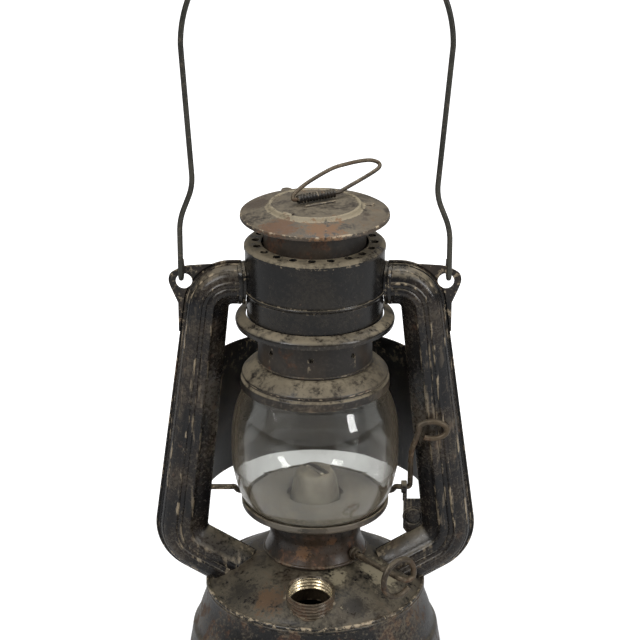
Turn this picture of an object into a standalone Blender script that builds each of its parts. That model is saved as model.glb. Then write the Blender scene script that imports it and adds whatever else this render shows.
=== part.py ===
"""Small tubular kerosene lantern with a wire bail, in metres, +Z up, front towards -Y.

The origin is the middle of the base, where the lantern stands. Every turned piece is centred on the Z axis.
"""

import math

import bmesh
import bpy
from mathutils import Matrix, Vector

# Fits and general stock
SEAT_GAP = 0.0003
RUNNING_GAP = 0.0004
SHEET = 0.0009
THIN_SHEET = 0.0007
OVERRUN = 0.004
ROUND_STEPS = 32
SMALL_STEPS = 24
MERGE = 0.000001

# Tank
BASE_RADIUS = 0.0662
BASE_RIM_WIDTH = 0.0034
BASE_RIM_HEIGHT = 0.0042
BASE_FLOOR_RISE = 0.0024
RIDGE_RADIUS = 0.0553
RIDGE_HEIGHT = 0.0492
RIDGE_BEAD = 0.0006
DOME_RISE = 0.0178
DOME_HOLE_RADIUS = 0.0200
TANK_SIDE_SHARES = (
    (1.000, 0.000),
    (0.930, 0.000),
    (0.820, 0.101),
    (0.660, 0.332),
    (0.530, 0.496),
    (0.475, 0.617),
    (0.440, 0.696),
    (0.370, 0.745),
    (0.210, 0.854),
    (0.000, 0.909),
)
DOME_SHARES = ((1.00, 0.00), (0.91, 0.23), (0.79, 0.48), (0.66, 0.70), (0.52, 0.86), (0.45, 0.92))

# Filler neck
FILLER_PLACE_X = -0.0023
FILLER_PLACE_Y = -0.0406
FILLER_RIM_HEIGHT = 0.0643
FILLER_TILT = math.radians(10)
FILLER_RADIUS = 0.0123
FILLER_BORE = 0.0101
FILLER_LENGTH = 0.0240
FILLER_LIP = 0.0005

# Burner
COLLAR_FOOT_RADIUS = 0.0256
COLLAR_TOP_RADIUS = 0.0252
COLLAR_WAIST_RADIUS = 0.0231
COLLAR_HEIGHT = 0.0208
BURNER_BASE_HEIGHT = 0.0765
BURNER_BASE_THICKNESS = 0.0012
CONE_RADIUS = 0.0130
CONE_HEIGHT = 0.0345
CONE_SHARES = ((0.00, 1.00), (0.62, 0.97), (0.74, 0.90), (0.86, 0.74), (0.95, 0.50), (1.00, 0.20))
CONE_SLOT_LENGTH = 0.0158
CONE_SLOT_WIDTH = 0.0056
WICK_WIDTH = 0.0126
WICK_THICKNESS = 0.0016
WICK_LENGTH = 0.0970
WICK_TOP_HEIGHT = 0.1110
WICK_CLEARANCE = 0.0006
WICK_TUBE_WALL = 0.0007
WICK_TUBE_FOOT_HEIGHT = 0.0620
WICK_TUBE_LENGTH = 0.0475
BURNER_ANGLE = math.radians(-50.5)

# Wick shaft with its knob and gears
SHAFT_HEIGHT = 0.0720
SHAFT_RADIUS = 0.0015
SHAFT_INNER_END = -0.0075
SHAFT_REACH = 0.0588
GEAR_RADIUS = 0.0039
GEAR_TOOTH = 0.0009
GEAR_TEETH = 10
GEAR_WIDTH = 0.0016
GEAR_SPACING = 0.0064
KNOB_RADIUS = 0.0098
KNOB_REST_ANGLE = math.radians(-31)
KNOB_OPEN_ANGLE = math.radians(18)
KNOB_BEND = 0.0022
BUSH_RADIUS = 0.0030
BUSH_LENGTH = 0.0030

# Globe dish, globe and globe plate
DISH_HOLE_RADIUS = 0.0148
DISH_FLOOR_RADIUS = 0.0262
DISH_SEAT_RADIUS = 0.0285
DISH_LIP_RADIUS = 0.0370
DISH_SEAT_RISE = 0.0034
DISH_LIP_RISE = 0.0077
GLOBE_RADIUS = 0.0420
GLOBE_HEIGHT = 0.0688
GLOBE_WALL = 0.0015
GLOBE_SHARES = (
    (1.000, 0.824),
    (0.960, 0.836),
    (0.905, 0.852),
    (0.845, 0.896),
    (0.765, 0.946),
    (0.630, 0.988),
    (0.470, 1.000),
    (0.330, 0.990),
    (0.200, 0.946),
    (0.105, 0.893),
    (0.040, 0.832),
    (0.000, 0.745),
)
PLATE_HOLE_RADIUS = 0.0265
PLATE_LIP_RADIUS = 0.0369
PLATE_SHOULDER_RADIUS = 0.0362
PLATE_LIP_DROP = 0.0036
PLATE_RISE = 0.0092
PLATE_GROOVE = 0.0009

# Chimney tube and cap
CHIMNEY_RADIUS = 0.0282
CHIMNEY_NECK_RADIUS = 0.0249
CHIMNEY_STAND = 0.0161
CHIMNEY_SHOULDER_OFFSET = 0.0028
CHIMNEY_SHOULDER_RISE = 0.0075
CHIMNEY_HOLE_RADIUS = 0.0013
CHIMNEY_HOLE_OFFSET = 0.0101
CHIMNEY_HOLES = 8
CHIMNEY_HOLE_TURN = math.radians(-94)
CAP_RADIUS = 0.0363
CAP_STEP_RADIUS = 0.0227
CAP_RIM_DROP = 0.0026
CAP_SLOPE_RISE = 0.0028
CAP_STEP_RISE = 0.0017
CAP_SEAT_DROP = 0.0013
STRAP_ANGLE = math.radians(28)
STRAP_OFFSET_X = 0.0004
STRAP_OFFSET_Y = 0.0024
STRAP_LENGTH = 0.0200
STRAP_RADIUS = 0.0023
LOOP_WIRE = 0.0010
LOOP_LEAN = math.radians(50)
LOOP_SPAN = 0.0252
LOOP_REACH = 0.0390
LOOP_HEIGHT = 0.0139
LOOP_SHARES = (
    (-0.29, 0.18),
    (-0.17, 0.38),
    (0.02, 0.61),
    (0.34, 0.90),
    (0.58, 0.98),
    (0.76, 1.00),
    (0.89, 0.97),
    (0.97, 0.88),
    (1.00, 0.76),
    (0.96, 0.62),
    (0.78, 0.42),
    (0.52, 0.18),
    (0.38, 0.05),
)

# Hood
HOOD_RADIUS = 0.0340
HOOD_STAND = 0.0241
HOOD_HEIGHT = 0.0348
HOOD_BEAD_HEIGHT = 0.0135
HOOD_BEAD = 0.0006
HOOD_BEAD_WIDTH = 0.0020
HOOD_WINDOW_HEIGHT = 0.0150
HOOD_WINDOW_WIDTH = 0.0110
LID_HOLE_RADIUS = 0.0259
LID_BEVEL = 0.0014
LID_HEIGHT = 0.0026
LID_VENT_CIRCLE = 0.0286
LID_VENT_RADIUS = 0.0019
LID_VENTS = 20
LID_VENT_TURN = math.radians(-92.8)
FLANGE_RADIUS = 0.0392
FLANGE_DROP = 0.0047
SPRING_RADIUS = 0.0276
SPRING_WIRE = 0.0008
SPRING_TURNS = 5
SPRING_TURN_POINTS = 12

# Side tubes, each a front and a rear pressing that meet in the plane Y = 0
TUBE_TOP_RISE = 0.0153
TUBE_CORNER_X = 0.0510
TUBE_ELBOW_X = 0.0675
TUBE_ELBOW_HEIGHT = 0.0738
TUBE_FOOT_SLOPE = math.radians(31)
TUBE_FOOT_LENGTH = 0.0330
TUBE_CORNER_RADIUS = 0.0120
TUBE_ELBOW_RADIUS = 0.0140
TUBE_TOP_HALF_WIDTH = 0.0097
TUBE_HALF_WIDTH = 0.0115
TUBE_HALF_DEPTH = 0.0080
TUBE_WALL = 0.0008
TUBE_SECTION_SHARES = (
    (1.00, 0.09),
    (0.96, 0.48),
    (0.76, 0.88),
    (0.40, 1.00),
    (0.02, 0.98),
    (-0.36, 0.92),
    (-0.78, 0.54),
    (-1.00, 0.09),
)
CORNER_STEPS = 9
ELBOW_STEPS = 7
STRAIGHT_STEPS = 5
FRONT_FIN = 0.0006
REAR_FIN = 0.0020
EAR_TOP_RISE = 0.0093
EAR_ROOT_RISE = 0.0111
EAR_TIP_X = 0.0716
EAR_TIP_RISE = 0.0022
EAR_LOW_DROP = 0.0100
EAR_LOW_X = 0.0669
EAR_SHOULDER_X = 0.0640
EAR_ROUNDING = 0.0034
EAR_FOOT_DROP = 0.0250
EAR_HOLE_X = 0.0638
EAR_HOLE_RISE = 0.0014
EAR_HOLE_RADIUS = 0.0040
TUBE_COLLAR_REACH = 0.0028
TUBE_COLLAR_STEP = 0.0010

# Bail
BAIL_WIRE = 0.00135
BAIL_LEG_X = 0.0650
BAIL_HOOK_RADIUS = 0.0044
BAIL_HOOK_ARC = math.radians(235)
BAIL_HOOK_STEPS = 8
BAIL_HINGE_RISE = 0.0075
BAIL_LOW_LEG = 0.0270
BAIL_KINK_X = 0.0583
BAIL_KINK_RISE = 0.0170
BAIL_ARCH_RADIUS = 0.0636
BAIL_ARCH_SHIFT = 0.0010
BAIL_RIGHT_DROP = 0.0050
BAIL_ARCH_RISE = 0.1206
BAIL_BEND = 0.0060
BAIL_ARCH_STEPS = 20

# Lift wire with its bracket
LIFT_WIRE = 0.0014
LIFT_HEIGHT = 0.1013
LIFT_LEFT_END_X = 0.0560
LIFT_SHOULDER_X = 0.0428
LIFT_BOW_RADIUS = 0.0325
LIFT_BOW_STEPS = 12
LEVER_X = 0.0479
LEVER_CURL_HEIGHT = 0.0413
LEVER_LEAN = 0.0120
CURL_WIDTH = 0.0150
CURL_HEIGHT = 0.0090
EYE_START_X = 0.0434
EYE_LENGTH = 0.0029
EYE_RADIUS = 0.0032
BRACKET_THICKNESS = 0.0012
BRACKET_LEFT_X = 0.0446
BRACKET_TOP_HEIGHT = 0.0945
BRACKET_FOOT_HEIGHT = 0.0755
BRACKET_NECK_WIDTH = 0.0022
BOSS_X = 0.0496
BOSS_HEIGHT = 0.0850
BOSS_RADIUS = 0.0042
BOSS_RISE = 0.0008

# Rear shield
SHIELD_RADIUS = 0.0570
SHIELD_SHEET = 0.0006
SHIELD_FOOT_HEIGHT = 0.0953
SHIELD_TOP_HEIGHT = 0.1644
SHIELD_CORNER_WIDTH = 0.0300
SHIELD_CORNER_DROP = 0.0120
SHIELD_STEPS = 24

# Heights that follow from the sizes above
TANK_WALL_FOOT = BASE_RIM_HEIGHT + SEAT_GAP
DOME_FOOT_HEIGHT = RIDGE_HEIGHT + SEAT_GAP
DOME_TOP_HEIGHT = DOME_FOOT_HEIGHT + DOME_RISE
COLLAR_FOOT_HEIGHT = DOME_TOP_HEIGHT + SEAT_GAP
COLLAR_TOP_HEIGHT = COLLAR_FOOT_HEIGHT + COLLAR_HEIGHT
DISH_FOOT_HEIGHT = COLLAR_TOP_HEIGHT + SEAT_GAP
DISH_SEAT_HEIGHT = DISH_FOOT_HEIGHT + DISH_SEAT_RISE + SHEET
GLOBE_FOOT_HEIGHT = DISH_SEAT_HEIGHT + SEAT_GAP
GLOBE_TOP_HEIGHT = GLOBE_FOOT_HEIGHT + GLOBE_HEIGHT
PLATE_SHOULDER_HEIGHT = GLOBE_TOP_HEIGHT + SEAT_GAP
PLATE_TOP_HEIGHT = PLATE_SHOULDER_HEIGHT + PLATE_RISE
HOOD_FOOT_HEIGHT = PLATE_TOP_HEIGHT + HOOD_STAND
HOOD_TOP_HEIGHT = HOOD_FOOT_HEIGHT + HOOD_HEIGHT
LID_FOOT_HEIGHT = HOOD_TOP_HEIGHT + SEAT_GAP
LID_TOP_HEIGHT = LID_FOOT_HEIGHT + LID_HEIGHT
CHIMNEY_FOOT_HEIGHT = PLATE_TOP_HEIGHT + SEAT_GAP
CHIMNEY_HOLE_HEIGHT = CHIMNEY_FOOT_HEIGHT + CHIMNEY_HOLE_OFFSET
CHIMNEY_SHOULDER_HEIGHT = HOOD_FOOT_HEIGHT + CHIMNEY_SHOULDER_OFFSET
CHIMNEY_TOP_HEIGHT = LID_TOP_HEIGHT + CHIMNEY_STAND
CAP_FOOT_HEIGHT = CHIMNEY_TOP_HEIGHT - CAP_SEAT_DROP
CAP_TOP_HEIGHT = CAP_FOOT_HEIGHT + CAP_SLOPE_RISE + CAP_STEP_RISE
STRAP_HEIGHT = CAP_TOP_HEIGHT + SEAT_GAP + STRAP_RADIUS
TUBE_TOP_HEIGHT = HOOD_FOOT_HEIGHT + TUBE_TOP_RISE
EAR_TOP_HEIGHT = TUBE_TOP_HEIGHT + EAR_TOP_RISE
EAR_ROOT_HEIGHT = TUBE_TOP_HEIGHT + EAR_ROOT_RISE
EAR_TIP_HEIGHT = TUBE_TOP_HEIGHT + EAR_TIP_RISE
EAR_LOW_HEIGHT = TUBE_TOP_HEIGHT - EAR_LOW_DROP
EAR_FOOT_HEIGHT = TUBE_TOP_HEIGHT - EAR_FOOT_DROP
EAR_HOLE_HEIGHT = TUBE_TOP_HEIGHT + EAR_HOLE_RISE
BAIL_HINGE_HEIGHT = TUBE_TOP_HEIGHT + BAIL_HINGE_RISE
BAIL_ARCH_HEIGHT = TUBE_TOP_HEIGHT + BAIL_ARCH_RISE
EAR_MIDDLE_Y = SEAT_GAP / 2 + TUBE_WALL / 2
COLLAR_SEAT_RADIUS = HOOD_RADIUS + HOOD_BEAD + SEAT_GAP
TUBE_END_RADIUS = COLLAR_SEAT_RADIUS + TUBE_COLLAR_REACH + SEAT_GAP
GEAR_OFFSET = WICK_THICKNESS / 2 + SEAT_GAP + GEAR_RADIUS

ALONG_BURNER = Vector((math.cos(BURNER_ANGLE), math.sin(BURNER_ANGLE), 0))
ACROSS_BURNER = Vector((-math.sin(BURNER_ANGLE), math.cos(BURNER_ANGLE), 0))
UP = Vector((0, 0, 1))


def clear_scene():
    for item in list(bpy.data.objects):
        bpy.data.objects.remove(item)


def make_material(name, colour, roughness, metallic, alpha=1.0):
    material = bpy.data.materials.new(name)
    material.use_nodes = True
    shader = material.node_tree.nodes["Principled BSDF"]
    shader.inputs["Base Color"].default_value = (*colour, 1)
    shader.inputs["Roughness"].default_value = roughness
    shader.inputs["Metallic"].default_value = metallic
    shader.inputs["Alpha"].default_value = alpha
    return material


def place_on_hinge(name, place):
    """An empty on a joint's axis, which carries the pieces that turn or slide there."""
    hinge = bpy.data.objects.new(name, None)
    hinge.location = place
    bpy.context.scene.collection.objects.link(hinge)
    return hinge


def add_object(name, data, material, parent=None):
    item = bpy.data.objects.new(name, data)
    bpy.context.scene.collection.objects.link(item)
    item.data.materials.append(material)
    if parent:
        item.parent = parent
        item.matrix_parent_inverse = Matrix.Translation(parent.location).inverted()
    return item


def mesh_from(bm, name, smooth_angle=math.radians(40)):
    bmesh.ops.remove_doubles(bm, verts=bm.verts, dist=MERGE)
    bmesh.ops.recalc_face_normals(bm, faces=bm.faces)
    mesh = bpy.data.meshes.new(name)
    bm.to_mesh(mesh)
    bm.free()
    mesh.shade_smooth()
    mesh.set_sharp_from_angle(angle=smooth_angle)
    return mesh


def turned_mesh(name, profile, steps=ROUND_STEPS):
    """A closed outline of (radius, height) points turned round the Z axis."""
    bm = bmesh.new()
    corners = [bm.verts.new((radius, 0, height)) for radius, height in profile]
    edges = [bm.edges.new((a, b)) for a, b in zip(corners, corners[1:])]
    on_axis = profile[0][0] == 0 and profile[-1][0] == 0
    if not on_axis:
        edges.append(bm.edges.new((corners[-1], corners[0])))
    bmesh.ops.spin(
        bm,
        geom=corners + edges,
        cent=(0, 0, 0),
        axis=UP,
        angle=math.tau,
        steps=steps,
        use_merge=True,
    )
    return mesh_from(bm, name)


def offset_line(points, distance):
    """The line moved sideways by a distance, to the left of its direction, with mitred corners."""
    moved = []
    for index, point in enumerate(points):
        here = Vector(point)
        before = Vector(points[max(index - 1, 0)])
        after = Vector(points[min(index + 1, len(points) - 1)])
        first = (here - before).normalized() if index else (after - here).normalized()
        second = (after - here).normalized() if index < len(points) - 1 else first
        left = Vector((-first.y - second.y, first.x + second.x)).normalized()
        stretch = 1 / max(left.dot(Vector((-first.y, first.x))), 0.5)
        moved.append(tuple(here + left * distance * stretch))
    return moved


def sheet_profile(outer, wall):
    """The outline of a turned sheet, from its outer line, which runs from top to bottom."""
    inner = offset_line(outer, -wall)
    return outer + inner[::-1]


def box_mesh(name, size, centre=(0, 0, 0)):
    bm = bmesh.new()
    scale = Matrix.Diagonal((*size, 1))
    bmesh.ops.create_cube(bm, size=1, matrix=Matrix.Translation(centre) @ scale)
    return mesh_from(bm, name)


def rod_mesh(name, radius, start, end, steps=SMALL_STEPS):
    """A plain cylinder between two points."""
    start = Vector(start)
    end = Vector(end)
    length = (end - start).length
    turn = (end - start).to_track_quat("Z", "Y").to_matrix().to_4x4()
    bm = bmesh.new()
    bmesh.ops.create_cone(
        bm,
        cap_ends=True,
        segments=steps,
        radius1=radius,
        radius2=radius,
        depth=length,
        matrix=Matrix.Translation((start + end) / 2) @ turn,
    )
    return mesh_from(bm, name)


def ring_mesh(name, outer, bore, start, end, steps=SMALL_STEPS):
    """A plain tube between two points."""
    start = Vector(start)
    end = Vector(end)
    length = (end - start).length
    profile = [(outer, length), (outer, 0), (bore, 0), (bore, length)]
    mesh = turned_mesh(name, profile, steps)
    turn = (end - start).to_track_quat("Z", "Y").to_matrix().to_4x4()
    mesh.transform(Matrix.Translation(start) @ turn)
    return mesh


def plate_mesh(name, outline, thickness, middle=0):
    """A flat plate in the plane of X and Z, from its outline of (x, z) points."""
    bm = bmesh.new()
    corners = [bm.verts.new((x, middle - thickness / 2, z)) for x, z in outline]
    face = bm.faces.new(corners)
    raised = bmesh.ops.extrude_face_region(bm, geom=[face])
    moved = [item for item in raised["geom"] if isinstance(item, bmesh.types.BMVert)]
    bmesh.ops.translate(bm, verts=moved, vec=(0, thickness, 0))
    return mesh_from(bm, name)


def helper_object(name, mesh):
    helper = bpy.data.objects.new(name, mesh)
    bpy.context.scene.collection.objects.link(helper)
    helper.hide_render = True
    helper.display_type = "WIRE"
    return helper


def change_shape(item, mesh, operation):
    """A Boolean with a helper mesh, kept as a modifier."""
    helper = helper_object(f"{item.name}_{operation.lower()}_{len(item.modifiers)}", mesh)
    modifier = item.modifiers.new(helper.name, "BOOLEAN")
    modifier.operation = operation
    modifier.solver = "EXACT"
    modifier.object = helper


def round_corners(points, radius, steps=4):
    """A path with each inner corner replaced by a short curve."""
    path = [Vector(points[0])]
    for before, corner, after in zip(points, points[1:], points[2:]):
        corner = Vector(corner)
        back = Vector(before) - corner
        forth = Vector(after) - corner
        reach = min(radius, back.length / 2, forth.length / 2)
        start = corner + back.normalized() * reach
        end = corner + forth.normalized() * reach
        for step in range(steps + 1):
            share = step / steps
            path.append(start.lerp(corner, share).lerp(corner.lerp(end, share), share))
    path.append(Vector(points[-1]))
    return path


def wire_object(name, points, radius, material, parent=None, resolution=2):
    """A round wire along a path, as a curve with filled ends."""
    kept = [points[0]]
    for point in points[1:]:
        if (Vector(point) - Vector(kept[-1])).length > radius / 2:
            kept.append(point)
    curve = bpy.data.curves.new(name, "CURVE")
    curve.dimensions = "3D"
    curve.bevel_depth = radius
    curve.bevel_resolution = resolution
    curve.use_fill_caps = True
    spline = curve.splines.new("POLY")
    spline.points.add(len(kept) - 1)
    for spot, point in zip(spline.points, kept):
        spot.co = (*point, 1)
    return add_object(name, curve, material, parent)


def tank_side():
    """The outer line of the tank's wall, from the ridge down to the base."""
    height = RIDGE_HEIGHT - TANK_WALL_FOOT
    spread = BASE_RADIUS - RIDGE_RADIUS
    return [(RIDGE_RADIUS + spread * r, TANK_WALL_FOOT + height * z) for z, r in TANK_SIDE_SHARES]


def dome_line():
    """The dome's outer line, from the burner hole out to the ridge."""
    line = [(RIDGE_RADIUS * r, DOME_FOOT_HEIGHT + DOME_RISE * z) for r, z in DOME_SHARES]
    line.append((DOME_HOLE_RADIUS, DOME_TOP_HEIGHT))
    return line[::-1]


def dome_height(radius):
    """The height of the dome's outer surface at a radius, and of its bead at the edge."""
    line = dome_line()
    line[-1] = (RIDGE_RADIUS + RIDGE_BEAD, DOME_FOOT_HEIGHT + RIDGE_BEAD * 2)
    for (near, high), (far, low) in zip(line, line[1:]):
        if near <= radius <= far:
            return high + (low - high) * (radius - near) / (far - near)
    return DOME_TOP_HEIGHT if radius < DOME_HOLE_RADIUS else DOME_FOOT_HEIGHT


def filler_axis():
    return Vector((0, -math.sin(FILLER_TILT), math.cos(FILLER_TILT)))


def filler_rim():
    return Vector((FILLER_PLACE_X, FILLER_PLACE_Y, FILLER_RIM_HEIGHT))


def build_tank(paint, bare):
    floor_radius = BASE_RADIUS - BASE_RIM_WIDTH - SHEET
    base = [
        (0, BASE_FLOOR_RISE + SHEET),
        (floor_radius, BASE_FLOOR_RISE + SHEET),
        (floor_radius + SHEET, BASE_RIM_HEIGHT),
        (BASE_RADIUS, BASE_RIM_HEIGHT),
        (BASE_RADIUS, 0),
        (BASE_RADIUS - BASE_RIM_WIDTH, 0),
        (floor_radius, BASE_FLOOR_RISE),
        (0, BASE_FLOOR_RISE),
    ]
    add_object("tank_base", turned_mesh("tank_base", base), paint)

    add_object("tank_body", turned_mesh("tank_body", sheet_profile(tank_side(), SHEET)), paint)

    line = dome_line()
    line[-1] = (RIDGE_RADIUS - RIDGE_BEAD, DOME_FOOT_HEIGHT + RIDGE_BEAD * 2)
    line.append((RIDGE_RADIUS + RIDGE_BEAD, DOME_FOOT_HEIGHT + RIDGE_BEAD))
    line.append((RIDGE_RADIUS, DOME_FOOT_HEIGHT))
    dome = add_object("tank_dome", turned_mesh("tank_dome", sheet_profile(line, SHEET)), paint)
    axis = filler_axis()
    rim = filler_rim()
    hole = rod_mesh("filler_hole", FILLER_BORE, rim - axis * FILLER_LENGTH, rim)
    change_shape(dome, hole, "DIFFERENCE")

    profile = [
        (FILLER_RADIUS - FILLER_LIP, 0),
        (FILLER_RADIUS, -FILLER_LIP),
        (FILLER_RADIUS, -FILLER_LENGTH),
        (FILLER_BORE, -FILLER_LENGTH),
        (FILLER_BORE, 0),
    ]
    mesh = turned_mesh("filler_neck", profile, SMALL_STEPS)
    turn = axis.to_track_quat("Z", "Y").to_matrix().to_4x4()
    mesh.transform(Matrix.Translation(rim) @ turn)
    neck = add_object("filler_neck", mesh, bare)
    under = [(radius, height + SEAT_GAP * 2) for radius, height in dome_line()]
    under.insert(0, (0, DOME_TOP_HEIGHT + SEAT_GAP * 2))
    under += [(BASE_RADIUS, DOME_FOOT_HEIGHT), (BASE_RADIUS, 0), (0, 0)]
    change_shape(neck, turned_mesh("below_dome", under), "DIFFERENCE")


def shaft_point(along, across=0, rise=0):
    return (
        ALONG_BURNER * along
        + ACROSS_BURNER * (GEAR_OFFSET + across)
        + UP * (SHAFT_HEIGHT + rise)
    )


def build_burner(paint, brass, cloth):
    height = COLLAR_HEIGHT
    waist = COLLAR_WAIST_RADIUS
    outer = [
        (COLLAR_TOP_RADIUS, COLLAR_TOP_HEIGHT),
        (COLLAR_TOP_RADIUS, COLLAR_TOP_HEIGHT - height * 0.10),
        (waist, COLLAR_FOOT_HEIGHT + height * 0.60),
        (waist, COLLAR_FOOT_HEIGHT + height * 0.35),
        (COLLAR_FOOT_RADIUS, COLLAR_FOOT_HEIGHT + height * 0.06),
        (COLLAR_FOOT_RADIUS, COLLAR_FOOT_HEIGHT),
    ]
    mesh = turned_mesh("burner_collar", sheet_profile(outer, SHEET))
    collar = add_object("burner_collar", mesh, paint)
    bore = SHAFT_RADIUS + RUNNING_GAP
    shaft_hole = rod_mesh("shaft_hole", bore, shaft_point(0), shaft_point(SHAFT_REACH))
    change_shape(collar, shaft_hole, "DIFFERENCE")

    radius = waist - SHEET - SEAT_GAP
    top = BURNER_BASE_HEIGHT + BURNER_BASE_THICKNESS
    profile = [(0, top), (radius, top), (radius, BURNER_BASE_HEIGHT), (0, BURNER_BASE_HEIGHT)]
    base = add_object("burner_base", turned_mesh("burner_base", profile, SMALL_STEPS), brass)
    tube_length = WICK_WIDTH + (WICK_CLEARANCE + WICK_TUBE_WALL) * 2
    tube_width = WICK_THICKNESS + (WICK_CLEARANCE + WICK_TUBE_WALL) * 2
    turn = Matrix.Rotation(BURNER_ANGLE, 4, "Z")
    slot_size = (tube_length + SEAT_GAP * 2, tube_width + SEAT_GAP * 2, OVERRUN * 2)
    slot = box_mesh("wick_slot", slot_size, (0, 0, BURNER_BASE_HEIGHT))
    slot.transform(turn)
    change_shape(base, slot, "DIFFERENCE")

    middle = WICK_TUBE_FOOT_HEIGHT + WICK_TUBE_LENGTH / 2
    mesh = box_mesh("wick_tube", (tube_length, tube_width, WICK_TUBE_LENGTH), (0, 0, middle))
    mesh.transform(turn)
    tube = add_object("wick_tube", mesh, brass)
    passage_size = (
        WICK_WIDTH + WICK_CLEARANCE * 2,
        WICK_THICKNESS + WICK_CLEARANCE * 2,
        WICK_TUBE_LENGTH + OVERRUN,
    )
    passage = box_mesh("wick_passage", passage_size, (0, 0, middle))
    passage.transform(turn)
    change_shape(tube, passage, "DIFFERENCE")
    window_size = (GEAR_WIDTH + RUNNING_GAP * 2, tube_width, (GEAR_RADIUS + RUNNING_GAP) * 2)
    for side in (-1, 1):
        place = (side * GEAR_SPACING / 2, tube_width / 2 + WICK_THICKNESS / 2, SHAFT_HEIGHT)
        window = box_mesh("gear_window", window_size, place)
        window.transform(turn)
        change_shape(tube, window, "DIFFERENCE")

    foot = top + SEAT_GAP
    outer = [(CONE_RADIUS * r, foot + CONE_HEIGHT * z) for r, z in CONE_SHARES]
    outer.append((CONE_RADIUS, foot))
    inner = offset_line(outer, -THIN_SHEET)
    inner[0] = (0, inner[0][1])
    mesh = turned_mesh("burner_cone", outer + inner[::-1], SMALL_STEPS)
    cone = add_object("burner_cone", mesh, brass)
    flame_slot_size = (CONE_SLOT_LENGTH, CONE_SLOT_WIDTH, CONE_HEIGHT / 3)
    flame_slot = box_mesh("flame_slot", flame_slot_size, (0, 0, foot + CONE_HEIGHT))
    flame_slot.transform(turn)
    change_shape(cone, flame_slot, "DIFFERENCE")

    wick_hinge = place_on_hinge("wick_slide", (0, 0, WICK_TOP_HEIGHT))
    wick_middle = WICK_TOP_HEIGHT - WICK_LENGTH / 2
    mesh = box_mesh("wick", (WICK_WIDTH, WICK_THICKNESS, WICK_LENGTH), (0, 0, wick_middle))
    mesh.transform(turn)
    add_object("wick", mesh, cloth, wick_hinge)


def gear_mesh(name, middle):
    """A small toothed wheel on the wick shaft."""
    bm = bmesh.new()
    outline = []
    root = GEAR_RADIUS - GEAR_TOOTH
    start = middle - GEAR_WIDTH / 2
    for tooth in range(GEAR_TEETH):
        for share, radius in ((0, GEAR_RADIUS), (0.25, GEAR_RADIUS), (0.5, root), (0.75, root)):
            angle = math.tau * (tooth + share) / GEAR_TEETH
            spot = shaft_point(start, math.cos(angle) * radius, math.sin(angle) * radius)
            outline.append(bm.verts.new(spot))
    face = bm.faces.new(outline)
    raised = bmesh.ops.extrude_face_region(bm, geom=[face])
    moved = [item for item in raised["geom"] if isinstance(item, bmesh.types.BMVert)]
    bmesh.ops.translate(bm, verts=moved, vec=ALONG_BURNER * GEAR_WIDTH)
    return mesh_from(bm, name)


def knob_path():
    """The knob's wire: the shaft, a bar across, and a ring that ends just short of the bar."""
    across = ACROSS_BURNER * math.cos(KNOB_REST_ANGLE) + UP * math.sin(KNOB_REST_ANGLE)
    other = ALONG_BURNER.cross(across)
    centre = shaft_point(SHAFT_REACH)
    path = [shaft_point(SHAFT_INNER_END), centre, centre + across * KNOB_RADIUS * 0.7]
    for step in range(1, SMALL_STEPS + 1):
        angle = KNOB_OPEN_ANGLE + (math.tau - KNOB_OPEN_ANGLE * 2) * step / SMALL_STEPS
        path.append(centre + (across * math.cos(angle) + other * math.sin(angle)) * KNOB_RADIUS)
    return round_corners(path[:4], KNOB_BEND) + path[4:]


def build_wick_shaft(paint, rusty, brass):
    hinge = place_on_hinge("wick_shaft_hinge", shaft_point(0))
    wire_object("wick_knob", knob_path(), SHAFT_RADIUS, rusty, hinge)
    for name, side in (("inner_wick_gear", -1), ("outer_wick_gear", 1)):
        middle = side * GEAR_SPACING / 2
        gear = add_object(name, gear_mesh(name, middle), brass, hinge)
        start = shaft_point(middle - OVERRUN)
        end = shaft_point(middle + OVERRUN)
        change_shape(gear, rod_mesh("gear_bore", SHAFT_RADIUS + SEAT_GAP, start, end), "DIFFERENCE")
    wall = math.sqrt(COLLAR_FOOT_RADIUS**2 - GEAR_OFFSET**2)
    bore = SHAFT_RADIUS + RUNNING_GAP
    bush = ring_mesh("shaft_bush", BUSH_RADIUS, bore, shaft_point(wall), shaft_point(wall + BUSH_LENGTH))
    add_object("shaft_bush", bush, paint)


def build_dish(paint, lift):
    foot = DISH_FOOT_HEIGHT
    seat = foot + DISH_SEAT_RISE
    lip = foot + DISH_LIP_RISE
    outer = [
        (DISH_LIP_RADIUS, lip),
        (DISH_LIP_RADIUS, lip - DISH_LIP_RISE * 0.28),
        (DISH_LIP_RADIUS - SHEET * 0.7, seat + SHEET),
        (DISH_LIP_RADIUS - SHEET * 2.2, seat),
        (DISH_SEAT_RADIUS, seat),
        (DISH_FLOOR_RADIUS, foot),
        (DISH_HOLE_RADIUS, foot),
    ]
    mesh = turned_mesh("globe_dish", sheet_profile(outer, SHEET))
    add_object("globe_dish", mesh, paint, lift)


def build_globe(glass, lift):
    outer = [(GLOBE_RADIUS * r, GLOBE_FOOT_HEIGHT + GLOBE_HEIGHT * z) for z, r in GLOBE_SHARES]
    mesh = turned_mesh("globe", sheet_profile(outer, GLOBE_WALL))
    add_object("globe", mesh, glass, lift)


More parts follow.
